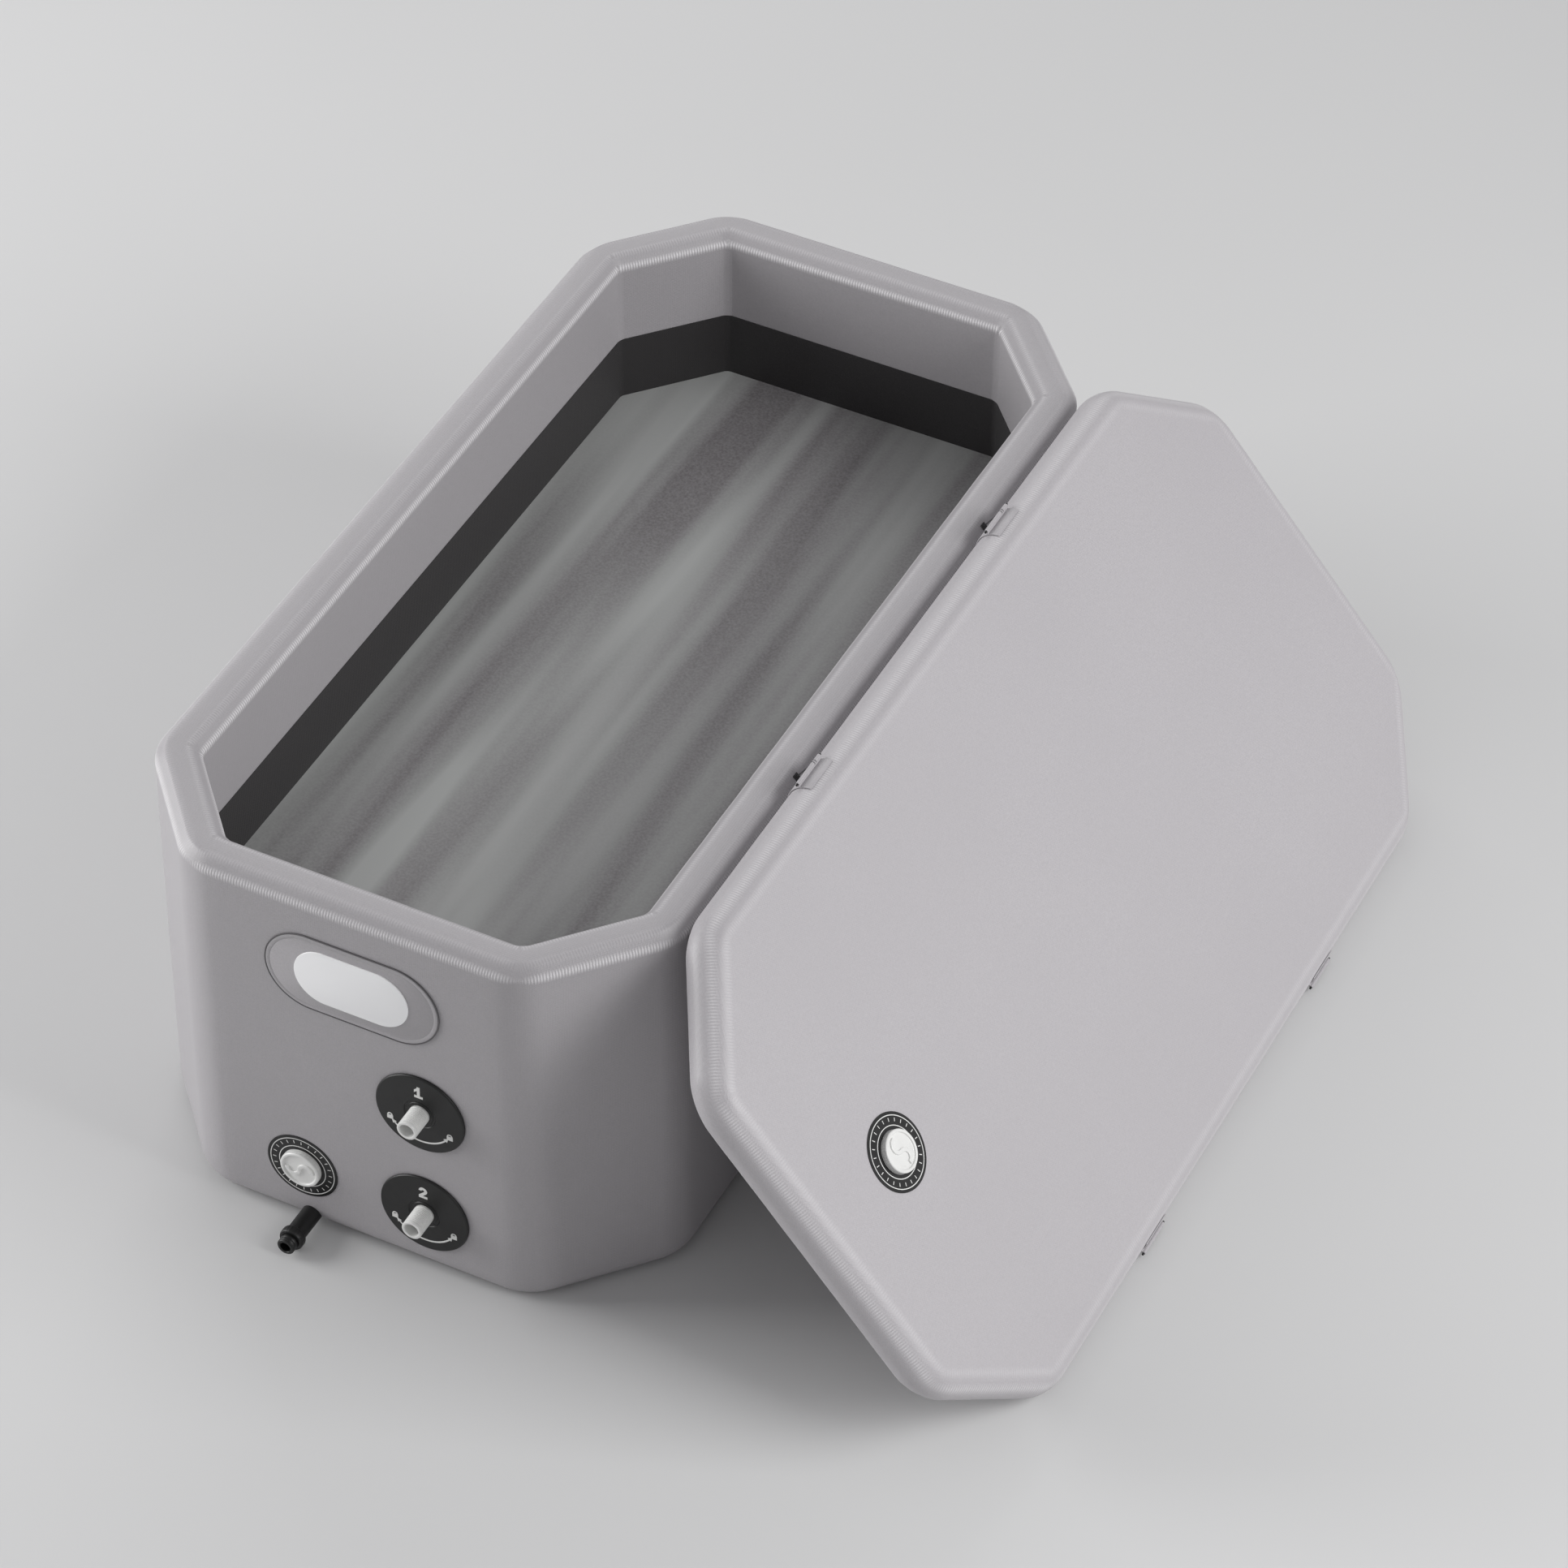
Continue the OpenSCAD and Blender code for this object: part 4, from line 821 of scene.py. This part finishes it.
def s_grip(name, radius, line, low, high):
    """An S-shaped bar of two half turns."""
    deselect()
    bpy.ops.mesh.primitive_cube_add(size=1, location=(0, 0, (low + high) / 2), scale=(line, 0.0002, high - low))
    o = started(name)
    pick(o, "EDGE", lambda e: all(v.co.z > high - NEAR for v in e.verts)
         and abs(e.verts[0].co.x - e.verts[1].co.x) < NEAR)
    bpy.ops.mesh.bevel(offset=0.0011, segments=3, affect="EDGES")
    for s in (1, -1):
        pick(o, "FACE", lambda f: f.normal.y * s > UPRIGHT and abs(middle(f).x) < line)
        bpy.ops.mesh.spin(steps=20, angle=math.pi, center=(-s * radius, 0, 0), axis=(0, 0, 1))
    return o


class TUB_OT_caps(bpy.types.Operator):
    """Turn the valve caps with their knurled rims and S-shaped grips"""
    bl_idname = "plunge.caps"
    bl_label = "Valve caps"

    def execute(self, context):
        low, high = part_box("tub_valve_cap")
        bottom, top = -HALF_L - high.y, -HALF_L - low.y
        dish = top - 0.0025
        # From the middle of the dish down, out under the cap, up the skirt and back over its lip
        rings = [(0.0006, dish + 0.0003), (0.0006, 0.0068), (0.0243, 0.0068), (0.0243, bottom),
                 (0.0294, bottom), (0.0300, bottom + 0.0006), (0.0300, bottom + 0.0030),
                 (0.0300, top - 0.0026), (0.0298, top - 0.0014), (0.0292, top - 0.0005), (0.0282, top),
                 (0.0264, top), (0.0256, top - 0.0003), (0.0251, top - 0.0010), (0.0249, dish + 0.0003),
                 (0.0240, dish), (0.0120, dish + 0.0002)]
        for which, matrix in VALVES.items():
            o = turned(f"{which}_valve_cap_turned", rings, 180)
            bpy.ops.object.mode_set(mode="OBJECT")
            knurled(o, 0.0299, top - 0.002, 60, 0.012)
            grip = s_grip(f"{which}_valve_grip", 0.0098, 0.0062, dish - 0.0004, top - 0.0002)
            for part in (grip, o):
                finish_piece(part, f"{which}_valve_lid", "white", f"{which}_valve_cap", matrix)
        return {"FINISHED"}


class TUB_OT_drain(bpy.types.Operator):
    """Turn the drain's collar and nozzle"""
    bl_idname = "plunge.drain"
    bl_label = "Drain"

    def execute(self, context):
        collar = [(0.01405, 0.0442), (0.0158, 0.0440), (0.0170, 0.0450), (0.0176, 0.0462), (0.0180, 0.0480),
                  (0.0180, 0.0545), (0.0176, 0.0560), (0.0168, 0.0574), (0.0152, 0.0580), (0.01305, 0.0580),
                  (0.01305, 0.0532), (0.01405, 0.0530)]
        nozzle = [(0.0080, 0.0500), (0.0140, 0.0500), (0.0140, 0.0530), (0.0125, 0.0532), (0.0125, 0.0588),
                  (0.0130, 0.0600), (0.0130, 0.0622), (0.0122, 0.0640), (0.0130, 0.0648), (0.0130, 0.0665),
                  (0.0122, 0.0684), (0.0130, 0.0692), (0.0128, 0.0706), (0.0117, 0.0718), (0.0108, 0.0720),
                  (0.0086, 0.0720), (0.0080, 0.0712)]
        o = turned("drain_collar_turned", collar, 96)
        bpy.ops.object.mode_set(mode="OBJECT")
        knurled(o, 0.0171, math.inf, 24, 0.022)
        finish_piece(o, "tub", "black", "drain_collar", on_end(DRAIN))
        o = turned("drain_nozzle_turned", nozzle, 96)
        finish_piece(o, "tub", "black", "drain_nozzle", on_end(DRAIN))
        return {"FINISHED"}


# The studio

def area_light(name, place, aim, size, power):
    """A soft square light that looks at a point."""
    deselect()
    bpy.ops.object.light_add(type="AREA", location=place)
    o = bpy.context.object
    o.name = name
    o.data.name = name
    o.data.shape = "SQUARE"
    o.data.size = size
    o.data.energy = power
    o.rotation_mode = "QUATERNION"
    o.rotation_quaternion = (Vector(aim) - Vector(place)).to_track_quat("-Z", "Y")


class TUB_OT_stage(bpy.types.Operator):
    """Set the camera, the lights, the floor and the water"""
    bl_idname = "plunge.stage"
    bl_label = "Stage"

    def execute(self, context):
        deselect()
        bpy.ops.object.camera_add(location=CAMERA_AT)
        cam = bpy.context.object
        right, up, forward = (Vector(a).normalized() for a in CAMERA_AXES)
        turn = Matrix((right, up, -forward)).transposed()
        cam.rotation_mode = "QUATERNION"
        cam.rotation_quaternion = turn.to_quaternion()
        cam.data.lens, cam.data.sensor_width = CAMERA_LENS, CAMERA_SENSOR
        cam.data.clip_end = 100
        context.scene.camera = cam
        context.scene.view_settings.view_transform = "Standard"

        deselect()
        bpy.ops.mesh.primitive_plane_add(size=1, location=(0, 0, FLOOR_Z))
        floor = started("studio_floor")
        bpy.ops.transform.resize(value=(FLOOR_SIZE, FLOOR_SIZE, 1), center_override=(0, 0, 0))
        bpy.ops.mesh.subdivide(number_cuts=6)
        bpy.ops.object.mode_set(mode="OBJECT")
        floor.data.materials.append(FINISHES["paper"])

        shape = context.scene.plunge_shape
        water = octagon_block("still_water", WALL_T + 0.001, shape.water_z - 0.02, shape.water_z, 5)
        pick(water, "FACE", lambda f: f.normal.z < UPRIGHT)
        bpy.ops.mesh.delete(type="FACE")
        bpy.ops.object.mode_set(mode="OBJECT")
        water.data.materials.append(FINISHES["water"])

        for light in LIGHTS:
            area_light(*light)
        world = bpy.data.worlds.new("studio") if context.scene.world is None else context.scene.world
        context.scene.world = world
        world.use_nodes = True
        t = world.node_tree
        t.nodes.clear()
        sky = add(t, "ShaderNodeBackground", {"Color": rgba(linear(SKY_COLOUR)), "Strength": SKY_STRENGTH})
        add(t, "ShaderNodeOutputWorld", {"Surface": sky.outputs[0]})
        return {"FINISHED"}


OPERATORS = [TUB_OT_finishes, TUB_OT_wall, TUB_OT_floor, TUB_OT_lid, TUB_OT_tabs, TUB_OT_pad, TUB_OT_plates,
             TUB_OT_tails, TUB_OT_caps, TUB_OT_drain, TUB_OT_stage]


class TUB_PT_panel(bpy.types.Panel):
    """The tub's sizes, colours and pieces"""
    bl_idname = "TUB_PT_panel"
    bl_label = "Plunge tub"
    bl_space_type = "VIEW_3D"
    bl_region_type = "UI"
    bl_category = "Plunge tub"

    def draw(self, context):
        for group in (context.scene.plunge_shape, context.scene.plunge_finish):
            for key in group.bl_rna.properties.keys():
                if key not in ("rna_type", "name"):
                    self.layout.prop(group, key)
        for c in OPERATORS:
            self.layout.operator(c.bl_idname)


CLASSES = [PlungeShape, PlungeFinish] + OPERATORS + [TUB_PT_panel]


def register():
    for c in CLASSES:
        bpy.utils.register_class(c)
    bpy.types.Scene.plunge_shape = bpy.props.PointerProperty(type=PlungeShape)
    bpy.types.Scene.plunge_finish = bpy.props.PointerProperty(type=PlungeFinish)


def unregister():
    del bpy.types.Scene.plunge_shape
    del bpy.types.Scene.plunge_finish
    for c in reversed(CLASSES):
        bpy.utils.unregister_class(c)


def main():
    register()
    for c in OPERATORS:
        group, name = c.bl_idname.split(".")
        getattr(getattr(bpy.ops, group), name)()


if __name__ == "__main__":
    main()
